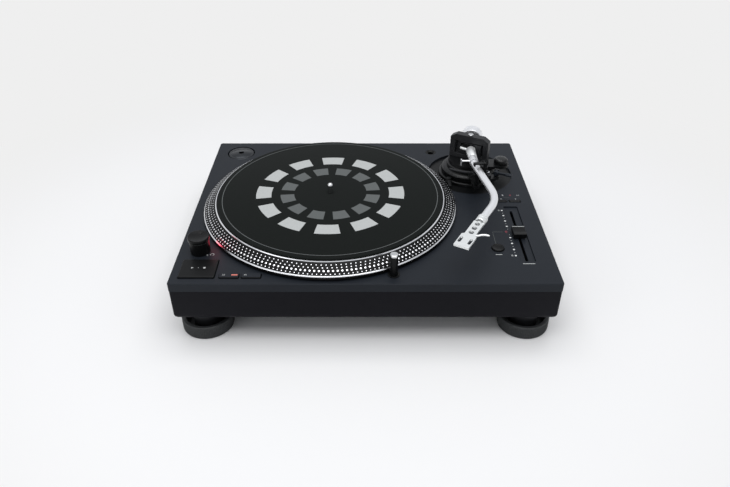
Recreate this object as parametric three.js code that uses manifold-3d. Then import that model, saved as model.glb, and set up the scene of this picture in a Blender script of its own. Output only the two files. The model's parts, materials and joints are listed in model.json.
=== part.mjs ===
import * as THREE from 'three';
import { mergeVertices } from 'three/addons/utils/BufferGeometryUtils.js';
import Module from 'manifold-3d';

// A direct-drive turntable with an S-shaped tonearm, in millimetres.
// The origin is on the floor under the middle of the deck: +X right, +Y back, +Z up.
// Heights inside a group count from the deck's top face, except in the feet, which count from the floor.

// Clearances
const seatGap = 0.3;
const slideGap = 0.3;
const buttonGap = 0.6;
const overrun = 1;
const weld = 0.0001;

// Facets of round pieces
const wideSides = 72;
const roundSides = 36;
const smallSides = 20;
const tinySides = 12;
const wideFrom = 100;
const roundFrom = 20;
const smallFrom = 5;
const cornerSteps = 3;

// Deck, the top chassis
const deckWidth = 453;
const deckDepth = 353;
const deckTop = 86;
const deckLip = 11.5;
const deckCorner = 2.5;
const deckEdge = 0.8;
const deckPlate = 4;
const deckWall = 5;

// Lower cabinet and its bottom cover
const cabinetStep = 0.3;
const cabinetHeight = 42;
const cabinetCorner = 2.5;
const cabinetWall = 4;
const cabinetFloor = 4;
const cabinetEdge = 7;
const edgeSteps = 4;
const sideLand = 58;
const endLand = 20;
const coverLip = 8;
const coverFlange = 3;
const coverCorner = 6;
const bossRadius = 10;
const bossHeight = 26;

// Feet
const footInset = 31.5;
const footRadius = 31.4;
const footTopRadius = 30.9;
const footChamfer = 1.2;
const footRingHeight = 17.3;
const footRingWall = 5.4;
const footFloor = 5;
const bootTopRadius = 25.2;
const bootNeckRadius = 23.5;
const bootNeckHeight = 13;
const bootRim = 2.5;
const studRadius = 4;
const studLength = 17;

// Platter, its well and its motor
const spindleInset = 179.9;
const spindleY = -5.2;
const wellRadius = 152;
const wellDepth = 14;
const wellWall = 4;
const wellFloor = 4;
const platterRadius = 166.8;
const platterLift = 2;
const rimTop = 6.5;
const rimChamfer = 0.6;
const crownRadius = 150.6;
const crownTop = 16.7;
const crownWidth = 1;
const matRecess = 0.8;
const rimInner = 148;
const webLow = 8;
const hubRadius = 30;
const hubLow = -3.7;
const matGap = 1;
const matTop = 18.7;
const spindleRadius = 3.6;
const spindleTop = 33;
const shaftRadius = 5;
const shaftLow = -38;
const stubRadius = 7;
const stubTop = 10;
const collarRadius = 12;
const collarThickness = 5;
const magnetOuter = 60;
const magnetInner = 44;
const magnetSeat = 1;
const magnetThickness = 7.2;
const bearingRadius = 13;
const bearingFlange = 24;
const bearingFlangeThickness = 4.4;
const bearingLow = -41;
const bearingEnd = 2.5;
const boardThickness = 1.6;
const statorRadius = 74;
const coilCount = 9;
const coilRadius = 8;
const coilHeight = 4;
const coilRing = 52;

// Start and stop button, speed buttons and their switch board
const startInset = 31.2;
const startY = -148.7;
const startWidth = 42.2;
const startDepth = 34.6;
const startLift = 2;
const speedWidth = 22.8;
const speedDepth = 8.2;
const speedLift = 1.6;
const slowStep = 37.7;
const fastStep = 63.4;
const speedY = -161.9;
const buttonCorner = 1.4;
const buttonEdge = 0.7;
const buttonDrop = 2;
const switchTravelRoom = 2.2;
const switchRadius = 3;
const switchBody = 2;
const standoffRadius = 2.4;

// Strobe pod with the power dial
const podStep = -4.7;
const podY = -113;
const podRadius = 12;
const podTop = 16.8;
const podBore = 8;
const podNeckRadius = 10;
const podNeckLow = -9;
const windowTurn = 35;
const windowWidth = 6;
const windowHeight = 9;
const windowLow = 5.5;
const windowDepth = 3;
const dialRadius = 12.9;
const dialThickness = 5.7;
const dialDish = 1.6;
const dialRim = 1.6;
const spigotRadius = 7.5;
const spigotLength = 4;

// Pop-up stylus light
const lightStep = 79.1;
const lightY = -159;
const lightRadius = 4.8;
const lightTop = 29.7;
const lightLow = -9;
const lightEdge = 0.8;
const sleeveWall = 1.1;
const sleeveLow = -35;
const sleeveFlangeRadius = 6.8;
const sleeveFlange = 0.9;

// Record adaptor and its recess, and the spare weight's socket
const adaptorInset = 37.1;
const adaptorY = 143.2;
const adaptorRadius = 19;
const adaptorBore = 3.7;
const adaptorEdge = 4.2;
const adaptorCrown = 1.6;
const adaptorRecessRadius = 20.6;
const adaptorRecessDepth = 5;
const recessWall = 3;
const socketStep = -48.7;
const socketY = 145.5;
const socketRadius = 7.6;
const socketBore = 4.1;
const socketDepth = 12;
const socketEnd = 2;
const socketMouth = 6.4;
const socketMouthDepth = 1.8;
const socketLip = 2;

// Pitch slider, reset button and the two small buttons behind it
const channelInset = 33;
const channelWidth = 18.8;
const channelFront = -133.5;
const channelBack = -10.6;
const channelDepth = 2.6;
const channelCorner = 1.5;
const pitchPlateThickness = 0.7;
const slotStep = -0.8;
const slotWidth = 3.6;
const pitchMiddle = -76;
const pitchTravel = 50;
const knobWidth = 16;
const knobDepth = 19;
const knobHeight = 6.5;
const knobLift = 0.5;
const knobGrip = 1.4;
const stemWidth = 2.6;
const stemDepth = 8;
const stemLow = -11;
const trackWidth = 14;
const trackHeight = 11;
const trackWall = 3;
const trackMargin = 6;
const resetStep = -31.7;
const resetY = -106.5;
const resetRadius = 7.6;
const resetLift = 1.8;
const resetDish = 1;
const smallButtonWidth = 15.4;
const smallButtonDepth = 5.6;
const smallButtonLift = 0.9;
const rangeStep = -9.5;
const reverseStep = 9;
const smallButtonY = 3.2;

// Boards inside the cabinet
const mainBoardStep = -35;
const mainBoardY = -75;
const mainBoardWidth = 130;
const mainBoardDepth = 84;
const supplyStep = 5;
const supplyGap = 5.9;
const supplyWidth = 80;
const supplyDepth = 100;
const pillarRadius = 3;
const pillarHeight = 5;
const pillarInset = 7;

// Terminals in the rear wall
const outletInset = 121.5;
const outletWidth = 88;
const inletInset = 81.5;
const inletWidth = 44;
const terminalHeight = 22;
const terminalDepth = 34;
const terminalWall = 2;
const terminalLow = -42;
const jackRadius = 4.2;
const jackLength = 13;
const jackSpacing = 20;
const pinLength = 10;
const pinWidth = 2;
const socketBlock = 12;

// Tonearm pivot, recess and base
const pivotStep = 194.9;
const pivotY = 85.5;
const armHeight = 39;
const recessStep = 2.7;
const recessStepBack = -3.5;
const recessRadius = 60;
const recessDepth = 3;
const recessFloor = 5;
const columnRadius = 16;
const columnLow = -11;
const columnBore = 6;
const baseRadius = 41.5;
const baseTop = 2;
const baseSleeve = 4;
const heightRingRadius = 38;
const heightRingTop = 11.5;
const heightRingChamfer = 2.5;
const collarLow = 12.1;
const collarTop = 22.2;
const collarWide = 31;
const collarWideTop = 16.3;
const collarNarrow = 29;
const lobeThickness = 4;

// Height lock lever, on the base plate
const lockX = -30.2;
const lockY = -29.4;
const lockHub = 3.4;
const lockHeight = 4;
const lockReach = 18;
const lockWidth = 4.4;

// Anti-skating dial, cue lever, lift bar and arm rest
const skateX = 46;
const skateY = -3.5;
const skateRadius = 9.6;
const skateHeight = 7.4;
const skatePad = 12;
const liftRadius = 52;
const liftWidth = 3;
const liftThickness = 2.4;
const liftTop = 28.4;
const liftRightDegrees = -67;
const liftLeftDegrees = -128;
const liftSteps = 16;
const liftStem = 2.3;
const towerWall = 2.4;
const towerTop = 22;
const cueX = 33;
const cueY = -41;
const cueHeight = 20.5;
const cueTurn = -22;
const cueHub = 3.2;
const cueHubLength = 7;
const cueReach = 18;
const cueBar = 3;
const cuePaddleWidth = 6.4;
const cuePaddleLength = 9;
const cueBracket = 2.4;
const restDistance = 14.6;
const restPost = 3.2;
const cradleWidth = 13;
const cradleLength = 9;
const cradleDrop = 8;
const cradleRise = 1;
const cradleEar = 4;
const cheekThickness = 1.2;
const clipClear = 4;
const clipThickness = 1.6;
const clipLip = 2.6;
const clipHub = 1.5;

// Gimbal: outer housing, inner ring and pivot block
const housingTurn = 27;
const housingHalfWidth = 28;
const housingTop = 58;
const housingHalfDepth = 5;
const housingChamfer = 8;
const housingChamferHeight = 5;
const housingSide = 7.6;
const windowBase = 5.8;
const windowTop = 48;
const pivotPin = 2;
const screwHead = 3.6;
const screwHeadHeight = 1.4;
const ringTurn = 37;
const ringHalfWidth = 18.9;
const ringHalfDepth = 3.6;
const ringRun = 1;
const ringBar = 3;
const ringSide = 6.5;
const blockHalfWidth = 8.5;
const blockHalfHeight = 4.4;
const blockHalfDepth = 4.5;
const tiltPin = 1.7;
const pinDepth = 2;

// Arm tube, its boss and its collar
const tubeRadius = 4.8;
const tubeBore = 3.8;
const bossStart = 9.4;
const bossEnd = 33;
const bossWide = 6.8;
const bossNarrow = 5.9;
const tubeStart = 11;
const firstBend = 51.4;
const firstBendDegrees = 10.5;
const secondBendRun = 91.1;
const secondBendDegrees = 39.5;
const firstBendRadius = 40;
const secondBendRadius = 66;
const tubeSteps = 32;
const tubeSides = 12;
const boreSides = 8;
const wireSteps = 10;
const clampDistance = 41;
const clampSize = 9.4;
const sidePinRadius = 1.4;
const sidePinLength = 12;
const hookDrop = 6;
const hookRise = 2.6;
const hookThickness = 1.6;
const hookWidth = 4;

// Headshell, measured along its own axis from the second bend
const nutStart = 50;
const nutEnd = 62;
const nutRadius = 6.4;
const nutGroove = 0.7;
const shellStart = 63;
const shellLength = 56.4;
const shellThickness = 2.4;
const shellRise = 2.5;
const neckHalfWidth = 6.5;
const neckLength = 30;
const flareLength = 2.5;
const faceHalfWidth = 9.2;
const plugRadius = 3.6;
const plugLength = 4;
const plugNeck = 2;
const roundHoleRadius = 3.2;
const firstHole = 6.2;
const holePitch = 9.6;
const slotHalfWidth = 1.9;
const slotHalfLength = 5.8;
const slotOffset = 6;
const slotCentre = 44.2;
const lipDrop = 0.8;
const lipLength = 2.2;
const liftWire = 1.7;
const liftOut = 14.5;
const liftRise = 1.4;
const liftBack = 5.2;
const liftAt = 28;

// Counterweight, its shaft, hub and force dial, measured behind the pivot
const rearTurn = 12;
const rearShaftRadius = 4;
const rearShaftEnd = 46;
const hubStart = 15;
const hubEnd = 43;
const hubTube = 6.5;
const forceDialStart = 18.5;
const forceDialEnd = 23.8;
const forceDialRadius = 13;
const weightStart = 24.2;
const weightEnd = 41.6;
const weightRadius = 15;
const weightEdge = 1.2;

const quarterTurn = Math.PI / 2;
const halfTurn = Math.PI;
const [leftEdge, rightEdge] = [-deckWidth / 2, deckWidth / 2];
const spindleX = leftEdge + spindleInset;
const lightX = spindleX + lightStep;
const startX = leftEdge + startInset;
const speedSlowX = startX + slowStep;
const speedFastX = startX + fastStep;
const podX = startX + podStep;
const adaptorX = leftEdge + adaptorInset;
const channelX = rightEdge - channelInset;
const slotX = channelX + slotStep;
const resetX = channelX + resetStep;
const rangeX = channelX + rangeStep;
const reverseX = channelX + reverseStep;
const pivotX = spindleX + pivotStep;
const recessX = pivotX + recessStep;
const recessY = pivotY + recessStepBack;
const socketX = pivotX + socketStep;
const cabinetTop = -deckLip - seatGap;
const cabinetLow = cabinetTop - cabinetHeight;
const cabinetWidth = deckWidth - 2 * cabinetStep;
const cabinetDepth = deckDepth - 2 * cabinetStep;
const outletX = rightEdge - outletInset;
const inletX = leftEdge + inletInset;
const mainBoardX = outletX + mainBoardStep;
const supplyX = inletX + supplyStep;
const supplyY = cabinetDepth / 2 - terminalDepth - supplyGap - supplyDepth / 2;
const coverTop = cabinetLow + cabinetFloor + seatGap + coverFlange;
const matLow = crownTop - matRecess + seatGap;
const matRadius = crownRadius - crownWidth - matGap;
const skateLow = collarLow + lobeThickness + seatGap;
const lobeTop = collarLow + lobeThickness;

const wasm = await Module();
wasm.setup();

const radians = (degrees) => THREE.MathUtils.degToRad(degrees);

function sidesFor(radius) {
  if (radius >= wideFrom) return wideSides;
  if (radius >= roundFrom) return roundSides;
  return radius >= smallFrom ? smallSides : tinySides;
}

// The sign of the enclosed volume says which way the faces point
function facesPointIn(corners, triangles) {
  const [a, b, c] = [new THREE.Vector3(), new THREE.Vector3(), new THREE.Vector3()];
  let sum = 0;
  for (let i = 0; i < triangles.length; i += 3) {
    a.fromArray(corners, 3 * triangles[i]);
    b.fromArray(corners, 3 * triangles[i + 1]);
    c.fromArray(corners, 3 * triangles[i + 2]);
    sum += a.dot(b.cross(c));
  }
  return sum < 0;
}

function solidOf(geometry) {
  geometry.deleteAttribute('normal');
  geometry.deleteAttribute('uv');
  const merged = mergeVertices(geometry, weld);
  const corners = merged.attributes.position.array;
  const index = merged.index.array;
  const triangles = [];
  for (let i = 0; i < index.length; i += 3) {
    const [a, b, c] = index.slice(i, i + 3);
    if (a !== b && b !== c && c !== a) triangles.push(a, b, c);
  }
  if (facesPointIn(corners, triangles)) triangles.reverse();
  return new wasm.Manifold(new wasm.Mesh({
    numProp: 3,
    vertProperties: new Float32Array(corners),
    triVerts: new Uint32Array(triangles),
  }));
}

const cut = (base, ...tools) => tools.reduce((left, tool) => left.subtract(tool), base);
const join = (first, ...rest) => rest.reduce((sum, next) => sum.add(next), first);

// Upright cylinder or cone between two heights
function drum(radius, low, high, x = 0, y = 0, topRadius = radius) {
  const form = new THREE.CylinderGeometry(topRadius, radius, high - low, sidesFor(radius));
  form.rotateX(quarterTurn);
  form.translate(x, y, (low + high) / 2);
  return solidOf(form);
}

const widest = (profile) => Math.max(...profile.map(([radius]) => radius));

// A profile that doesn't start on the axis closes on itself
function latheOutline(profile) {
  const points = profile.map(([radius, along]) => new THREE.Vector2(radius, along));
  if (points[0].x > 0) points.push(points[0].clone());
  return points;
}

// Body of revolution about Z from [radius, height] points
function turned(profile, x = 0, y = 0, sides = sidesFor(widest(profile))) {
  const form = new THREE.LatheGeometry(latheOutline(profile), sides);
  form.rotateX(quarterTurn);
  form.translate(x, y, 0);
  return solidOf(form);
}

// Body of revolution about Y, for pieces on the arm's axis
function turnedAlongY(profile, height) {
  const form = new THREE.LatheGeometry(latheOutline(profile), sidesFor(widest(profile)));
  form.translate(0, 0, height);
  return solidOf(form);
}

function block(left, right, front, back, low, high) {
  const form = new THREE.BoxGeometry(right - left, back - front, high - low);
  form.translate((left + right) / 2, (front + back) / 2, (low + high) / 2);
  return solidOf(form);
}

function blockAt(x, y, width, depth, low, high) {
  return block(x - width / 2, x + width / 2, y - depth / 2, y + depth / 2, low, high);
}

const flatPoints = (outline) => outline.map(([x, y]) => new THREE.Vector2(x, y));

function prism(outline, low, high) {
  const shape = new THREE.Shape(flatPoints(outline));
  const form = new THREE.ExtrudeGeometry(shape, { depth: high - low, bevelEnabled: false });
  form.translate(0, 0, low);
  return solidOf(form);
}

// Round rod between two points
function rod(from, to, radius, sides = tinySides) {
  const start = new THREE.Vector3(...from);
  const run = new THREE.Vector3(...to).sub(start);
  const form = new THREE.CylinderGeometry(radius, radius, run.length(), sides);
  const along = new THREE.Vector3(0, 1, 0);
  form.applyQuaternion(new THREE.Quaternion().setFromUnitVectors(along, run.clone().normalize()));
  form.translate(...start.addScaledVector(run, 1 / 2).toArray());
  return solidOf(form);
}

function arc(x, y, radius, startDegrees, endDegrees, steps) {
  return Array.from({ length: steps + 1 }, (_, step) => {
    const angle = radians(startDegrees + ((endDegrees - startDegrees) * step) / steps);
    return [x + radius * Math.cos(angle), y + radius * Math.sin(angle)];
  });
}

function roundedRectangle(width, depth, corner, x = 0, y = 0) {
  const [right, back] = [width / 2 - corner, depth / 2 - corner];
  return [
    ...arc(x + right, y + back, corner, 0, 90, cornerSteps),
    ...arc(x - right, y + back, corner, 90, 180, cornerSteps),
    ...arc(x - right, y - back, corner, 180, 270, cornerSteps),
    ...arc(x + right, y - back, corner, 270, 360, cornerSteps),
  ];
}

// Skin through rings of equally many points, closed by flat ends
function loft(rings) {
  const count = rings[0].outline.length;
  const corners = rings.flatMap(({ outline, height }) => outline.flatMap(([x, y]) => [x, y, height]));
  const faces = THREE.ShapeUtils.triangulateShape(flatPoints(rings[0].outline), []);
  const last = (rings.length - 1) * count;
  const triangles = faces.flatMap(([a, b, c]) => [c, b, a, last + a, last + b, last + c]);
  for (let ring = 0; ring < rings.length - 1; ring += 1) {
    for (let i = 0; i < count; i += 1) {
      const low = ring * count + i;
      const next = ring * count + ((i + 1) % count);
      triangles.push(low, next, next + count, low, next + count, low + count);
    }
  }
  const form = new THREE.BufferGeometry();
  form.setAttribute('position', new THREE.Float32BufferAttribute(corners, 3));
  form.setIndex(triangles);
  return solidOf(form);
}

// Rounded block with a small chamfer around its top
function edgedBlock(x, y, width, depth, corner, low, high, edge) {
  const full = roundedRectangle(width, depth, corner, x, y);
  return loft([
    { outline: full, height: low },
    { outline: full, height: high - edge },
    { outline: roundedRectangle(width - 2 * edge, depth - 2 * edge, corner, x, y), height: high },
  ]);
}

function finish(color, roughness, metalness) {
  return () => new THREE.MeshStandardMaterial({ color, roughness, metalness });
}

const charcoalPaint = finish(0x2b2d31, 0.55, 0.1);
const blackPlastic = finish(0x17181a, 0.5, 0);
const rubber = finish(0x141414, 0.8, 0);
const castAluminium = finish(0x26282b, 0.45, 0.5);
const satinSilver = finish(0xc9ccd0, 0.3, 0.9);
const chrome = finish(0xd8dadd, 0.12, 1);
const steel = finish(0x8b8f94, 0.35, 0.9);
const feltCloth = finish(0x202221, 0.95, 0);
const circuitBoard = finish(0x1f4a33, 0.6, 0);
const ferrite = finish(0x2a2a2c, 0.7, 0.2);
const redLens = finish(0xc0202c, 0.2, 0);

const turntable = new THREE.Group();
const deck = new THREE.Group();
deck.position.z = deckTop;
const platterGroup = new THREE.Group();
platterGroup.position.set(spindleX, spindleY, 0);
const armGroup = new THREE.Group();
armGroup.position.set(pivotX, pivotY, 0);
const housingGroup = new THREE.Group();
housingGroup.rotation.z = -radians(housingTurn);
const ringGroup = new THREE.Group();
ringGroup.rotation.z = -radians(ringTurn);
const rearGroup = new THREE.Group();
rearGroup.rotation.z = -radians(rearTurn);
armGroup.add(housingGroup, ringGroup, rearGroup);
deck.add(platterGroup, armGroup);
turntable.add(deck);

function piece(name, body, material, group) {
  const mesh = body.getMesh();
  const geometry = new THREE.BufferGeometry();
  geometry.setAttribute('position', new THREE.BufferAttribute(new Float32Array(mesh.vertProperties), 3));
  geometry.setIndex(new THREE.BufferAttribute(new Uint32Array(mesh.triVerts), 1));
  geometry.computeVertexNormals();
  const part = new THREE.Mesh(geometry, material());
  part.name = name;
  group.add(part);
}

// Deck with its lip, the platter's well, the tonearm's recess and every hole
function topChassis() {
  const shell = edgedBlock(0, 0, deckWidth, deckDepth, deckCorner, -deckLip, 0, deckEdge);
  const hollow = roundedRectangle(deckWidth - 2 * deckWall, deckDepth - 2 * deckWall, deckCorner);
  const cupLow = -wellDepth - wellFloor;
  const joined = join(
    cut(shell, prism(hollow, -deckLip - overrun, -deckPlate)),
    drum(wellRadius + wellWall, cupLow, -deckPlate / 2, spindleX, spindleY),
    drum(recessRadius + recessWall, -recessDepth - recessFloor, -deckPlate / 2, recessX, recessY),
    drum(adaptorRecessRadius + recessWall, -adaptorRecessDepth - recessWall, -deckPlate / 2,
      adaptorX, adaptorY),
  );
  const throughLow = cupLow - overrun;
  const buttonHole = (x, y, width, depth) => prism(
    roundedRectangle(width + 2 * buttonGap, depth + 2 * buttonGap, buttonCorner, x, y), throughLow, overrun);
  const channelMiddle = (channelFront + channelBack) / 2;
  return cut(
    joined,
    drum(wellRadius, -wellDepth, overrun, spindleX, spindleY),
    drum(bearingRadius + slideGap, throughLow, overrun, spindleX, spindleY),
    drum(recessRadius, -recessDepth, overrun, recessX, recessY),
    drum(columnRadius + baseSleeve + 2 * slideGap, throughLow, overrun, pivotX, pivotY),
    drum(adaptorRecessRadius, -adaptorRecessDepth, overrun, adaptorX, adaptorY),
    drum(socketRadius + slideGap, throughLow, overrun, socketX, socketY),
    drum(podNeckRadius + slideGap, throughLow, overrun, podX, podY),
    drum(lightRadius + slideGap + sleeveWall + slideGap, throughLow, overrun, lightX, lightY),
    drum(resetRadius + buttonGap, throughLow, overrun, resetX, resetY),
    buttonHole(startX, startY, startWidth, startDepth),
    buttonHole(speedSlowX, speedY, speedWidth, speedDepth),
    buttonHole(speedFastX, speedY, speedWidth, speedDepth),
    buttonHole(rangeX, smallButtonY, smallButtonWidth, smallButtonDepth),
    buttonHole(reverseX, smallButtonY, smallButtonWidth, smallButtonDepth),
    prism(roundedRectangle(channelWidth, channelBack - channelFront, channelCorner, channelX, channelMiddle),
      -channelDepth, overrun),
    slotCut(throughLow, overrun),
  );
}

// Slot that the pitch knob's stem travels in
function slotCut(low, high) {
  const reach = pitchTravel + stemDepth / 2 + slideGap + slotWidth / 2;
  return prism(roundedRectangle(slotWidth, 2 * reach, slotWidth / 2, slotX, pitchMiddle), low, high);
}

function lowerCabinet() {
  const rings = Array.from({ length: edgeSteps + 1 }, (_, step) => {
    const angle = (quarterTurn * step) / edgeSteps;
    const inset = cabinetEdge * (1 - Math.sin(angle));
    return {
      outline: roundedRectangle(cabinetWidth - 2 * inset, cabinetDepth - 2 * inset, cabinetCorner),
      height: cabinetLow + cabinetEdge * (1 - Math.cos(angle)),
    };
  });
  rings.push({ outline: rings[edgeSteps].outline, height: cabinetTop });
  const [innerWidth, innerDepth] = [cabinetWidth - 2 * cabinetWall, cabinetDepth - 2 * cabinetWall];
  const inner = roundedRectangle(innerWidth, innerDepth, cabinetCorner);
  const opening = roundedRectangle(cabinetWidth - 2 * sideLand, cabinetDepth - 2 * endLand, coverCorner);
  const floorTop = cabinetLow + cabinetFloor;
  const bosses = footPlaces().map(([, x, y]) =>
    drum(bossRadius, floorTop - overrun, floorTop + bossHeight, x, y));
  const studHoles = footPlaces().map(([, x, y]) =>
    drum(studRadius + slideGap, cabinetLow - overrun, floorTop + bossHeight + overrun, x, y));
  const window = (x, width) => block(x - width / 2 - slideGap, x + width / 2 + slideGap,
    cabinetDepth / 2 - cabinetWall - overrun, cabinetDepth / 2 + overrun,
    terminalLow - slideGap, terminalLow + terminalHeight + slideGap);
  const shell = cut(loft(rings), prism(inner, floorTop, cabinetTop + overrun));
  return cut(
    join(cut(shell, prism(opening, cabinetLow - overrun, floorTop + overrun)), ...bosses),
    ...studHoles,
    window(outletX, outletWidth),
    window(inletX, inletWidth),
  );
}

function bottomCover() {
  const width = cabinetWidth - 2 * sideLand;
  const depth = cabinetDepth - 2 * endLand;
  const seat = cabinetLow + cabinetFloor + seatGap;
  return join(
    prism(roundedRectangle(width - 2 * slideGap, depth - 2 * slideGap, coverCorner), cabinetLow, seat),
    prism(roundedRectangle(width + 2 * coverLip, depth + 2 * coverLip, coverCorner), seat, coverTop),
  );
}

function footPlaces() {
  const [x, y] = [deckWidth / 2 - footInset, deckDepth / 2 - footInset];
  return [['front_left', -x, -y], ['front_right', x, -y], ['back_left', -x, y], ['back_right', x, y]];
}

// Rubber boot with the stud that screws into the cabinet
function footBoot() {
  const top = deckTop + cabinetLow - seatGap;
  const low = footFloor + seatGap;
  return turned([
    [0, low],
    [bootNeckRadius, low],
    [bootNeckRadius, low + bootNeckHeight],
    [bootTopRadius, top - bootRim],
    [bootTopRadius, top],
    [studRadius, top],
    [studRadius, top + studLength],
    [0, top + studLength],
  ]);
}

// Knurled levelling ring, a cup that the boot stands in
function footRing() {
  const inner = footTopRadius - footRingWall;
  return turned([
    [0, 0],
    [footRadius - footChamfer, 0],
    [footRadius, footChamfer],
    [footTopRadius, footRingHeight - footChamfer],
    [footTopRadius - footChamfer, footRingHeight],
    [inner, footRingHeight],
    [inner, footFloor],
    [0, footFloor],
  ]);
}

function platter() {
  const face = crownTop - matRecess;
  return turned([
    [stubRadius + slideGap, hubLow],
    [hubRadius, hubLow],
    [hubRadius, magnetSeat],
    [magnetOuter + overrun, magnetSeat],
    [magnetOuter + overrun, webLow],
    [rimInner, webLow],
    [rimInner, platterLift],
    [platterRadius, platterLift],
    [platterRadius, rimTop - rimChamfer],
    [platterRadius - rimChamfer, rimTop],
    [crownRadius, crownTop],
    [crownRadius - crownWidth, crownTop],
    [crownRadius - crownWidth, face],
    [spindleRadius + slideGap, face],
    [spindleRadius + slideGap, stubTop + seatGap],
    [stubRadius + slideGap, stubTop + seatGap],
  ]);
}

function slipmat() {
  return turned([
    [spindleRadius + slideGap, matLow],
    [matRadius, matLow],
    [matRadius, matTop],
    [spindleRadius + slideGap, matTop],
  ]);
}

function rotorMagnet() {
  const high = magnetSeat - seatGap;
  const low = high - magnetThickness;
  return cut(drum(magnetOuter, low, high), drum(magnetInner, low - overrun, high + overrun));
}

function spindleShaft() {
  const collarHigh = hubLow - seatGap;
  return turned([
    [0, shaftLow],
    [shaftRadius, shaftLow],
    [shaftRadius, collarHigh - collarThickness],
    [collarRadius, collarHigh - collarThickness],
    [collarRadius, collarHigh],
    [stubRadius, collarHigh],
    [stubRadius, stubTop],
    [spindleRadius, stubTop],
    [spindleRadius, spindleTop - spindleRadius],
    [spindleRadius * Math.cos(quarterTurn / 2), spindleTop - spindleRadius * (1 - Math.sin(quarterTurn / 2))],
    [0, spindleTop],
  ], 0, 0, roundSides);
}

function spindleBearing() {
  const low = -wellDepth + seatGap;
  const high = hubLow - 2 * seatGap - collarThickness;
  const flangeTop = Math.min(low + bearingFlangeThickness, high);
  const body = join(drum(bearingRadius, bearingLow, high), drum(bearingFlange, low, flangeTop));
  return cut(body, drum(shaftRadius + slideGap, bearingLow + bearingEnd, high + overrun));
}

// Coil board around the bearing, with its ring of coils
function statorBoard() {
  const low = -wellDepth + seatGap;
  const board = cut(
    drum(statorRadius, low, low + boardThickness),
    drum(bearingFlange + slideGap, low - overrun, low + boardThickness + overrun),
  );
  const coils = Array.from({ length: coilCount }, (_, coil) => {
    const angle = (2 * Math.PI * coil) / coilCount;
    return drum(coilRadius, low + boardThickness / 2, low + boardThickness + coilHeight,
      coilRing * Math.cos(angle), coilRing * Math.sin(angle));
  });
  return join(board, ...coils);
}

const buttonLow = -deckPlate - buttonDrop;

function deckButton(x, y, width, depth, lift) {
  return edgedBlock(x, y, width, depth, buttonCorner, buttonLow, lift, buttonEdge);
}

// L-shaped board with a switch under each of the three buttons, hung from the deck
function switchBoard() {
  const high = buttonLow - switchTravelRoom - switchBody;
  const low = high - boardThickness;
  const [left, right] = [startX - startWidth / 2, startX + startWidth / 2];
  const [front, back] = [startY - startDepth / 2, startY + startDepth / 2];
  const end = speedFastX + speedWidth / 2;
  const standoffY = speedY + speedDepth / 2 + buttonGap + standoffRadius;
  const stripBack = standoffY + standoffRadius;
  const outline = [
    [left, front],
    [end, front],
    [end, stripBack],
    [right, stripBack],
    [right, back],
    [left, back],
  ];
  const switches = [[startX, startY], [speedSlowX, speedY], [speedFastX, speedY]].map(([x, y]) =>
    drum(switchRadius, low + boardThickness / 2, high + switchBody, x, y));
  const standoffs = [speedSlowX, speedFastX].map((x) =>
    drum(standoffRadius, low + boardThickness / 2, -deckPlate - seatGap, x, standoffY));
  return join(prism(outline, low, high), ...switches, ...standoffs);
}

// Pod with a pocket for the lit window, turned to face the platter
function strobeHousing() {
  const pocket = new THREE.BoxGeometry(podRadius, windowWidth + 2 * slideGap, windowHeight + 2 * slideGap);
  pocket.translate(podBore + slideGap + podRadius / 2, 0, windowLow + windowHeight / 2);
  pocket.rotateZ(radians(windowTurn));
  return cut(
    join(drum(podRadius, seatGap, podTop), drum(podNeckRadius, podNeckLow, podTop / 2)),
    drum(podBore, podNeckLow - overrun, podTop + overrun),
    solidOf(pocket),
  );
}

function strobeWindow() {
  const lens = new THREE.BoxGeometry(windowDepth, windowWidth, windowHeight);
  lens.translate(podBore + 2 * slideGap + windowDepth / 2, 0, windowLow + windowHeight / 2);
  lens.rotateZ(radians(windowTurn));
  return solidOf(lens);
}

function powerDial() {
  const low = podTop + seatGap;
  const high = low + dialThickness;
  return turned([
    [0, low - spigotLength],
    [spigotRadius, low - spigotLength],
    [spigotRadius, low],
    [dialRadius - buttonEdge, low],
    [dialRadius, low + buttonEdge],
    [dialRadius, high - buttonEdge],
    [dialRadius - buttonEdge, high],
    [dialRadius - dialRim, high],
    [dialRadius - dialRim - buttonEdge, high - buttonEdge],
    [0, high - dialDish],
  ]);
}

function lightSleeve() {
  const bore = lightRadius + slideGap;
  return turned([
    [bore, sleeveLow],
    [bore + sleeveWall, sleeveLow],
    [bore + sleeveWall, seatGap],
    [Math.max(sleeveFlangeRadius, bore + sleeveWall + overrun), seatGap],
    [Math.max(sleeveFlangeRadius, bore + sleeveWall + overrun), seatGap + sleeveFlange],
    [bore, seatGap + sleeveFlange],
  ]);
}

function stylusLight() {
  return turned([
    [0, lightLow],
    [lightRadius, lightLow],
    [lightRadius, lightTop - lightEdge],
    [lightRadius - lightEdge, lightTop],
    [0, lightTop],
  ]);
}

function recordAdaptor() {
  const low = -adaptorRecessDepth + seatGap;
  return turned([
    [adaptorBore, low],
    [adaptorRadius - buttonEdge, low],
    [adaptorRadius, low + buttonEdge],
    [adaptorRadius, low + adaptorEdge],
    [adaptorBore, low + adaptorEdge + adaptorCrown],
  ]);
}

function weightSocket() {
  return turned([
    [0, -socketDepth],
    [socketRadius, -socketDepth],
    [socketRadius, -deckPlate - seatGap - socketLip],
    [socketRadius + socketLip, -deckPlate - seatGap - socketLip],
    [socketRadius + socketLip, -deckPlate - seatGap],
    [socketRadius, -deckPlate - seatGap],
    [socketRadius, 0],
    [socketMouth, 0],
    [socketBore, -socketMouthDepth],
    [socketBore, -socketDepth + socketEnd],
    [0, -socketDepth + socketEnd],
  ]);
}

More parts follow.
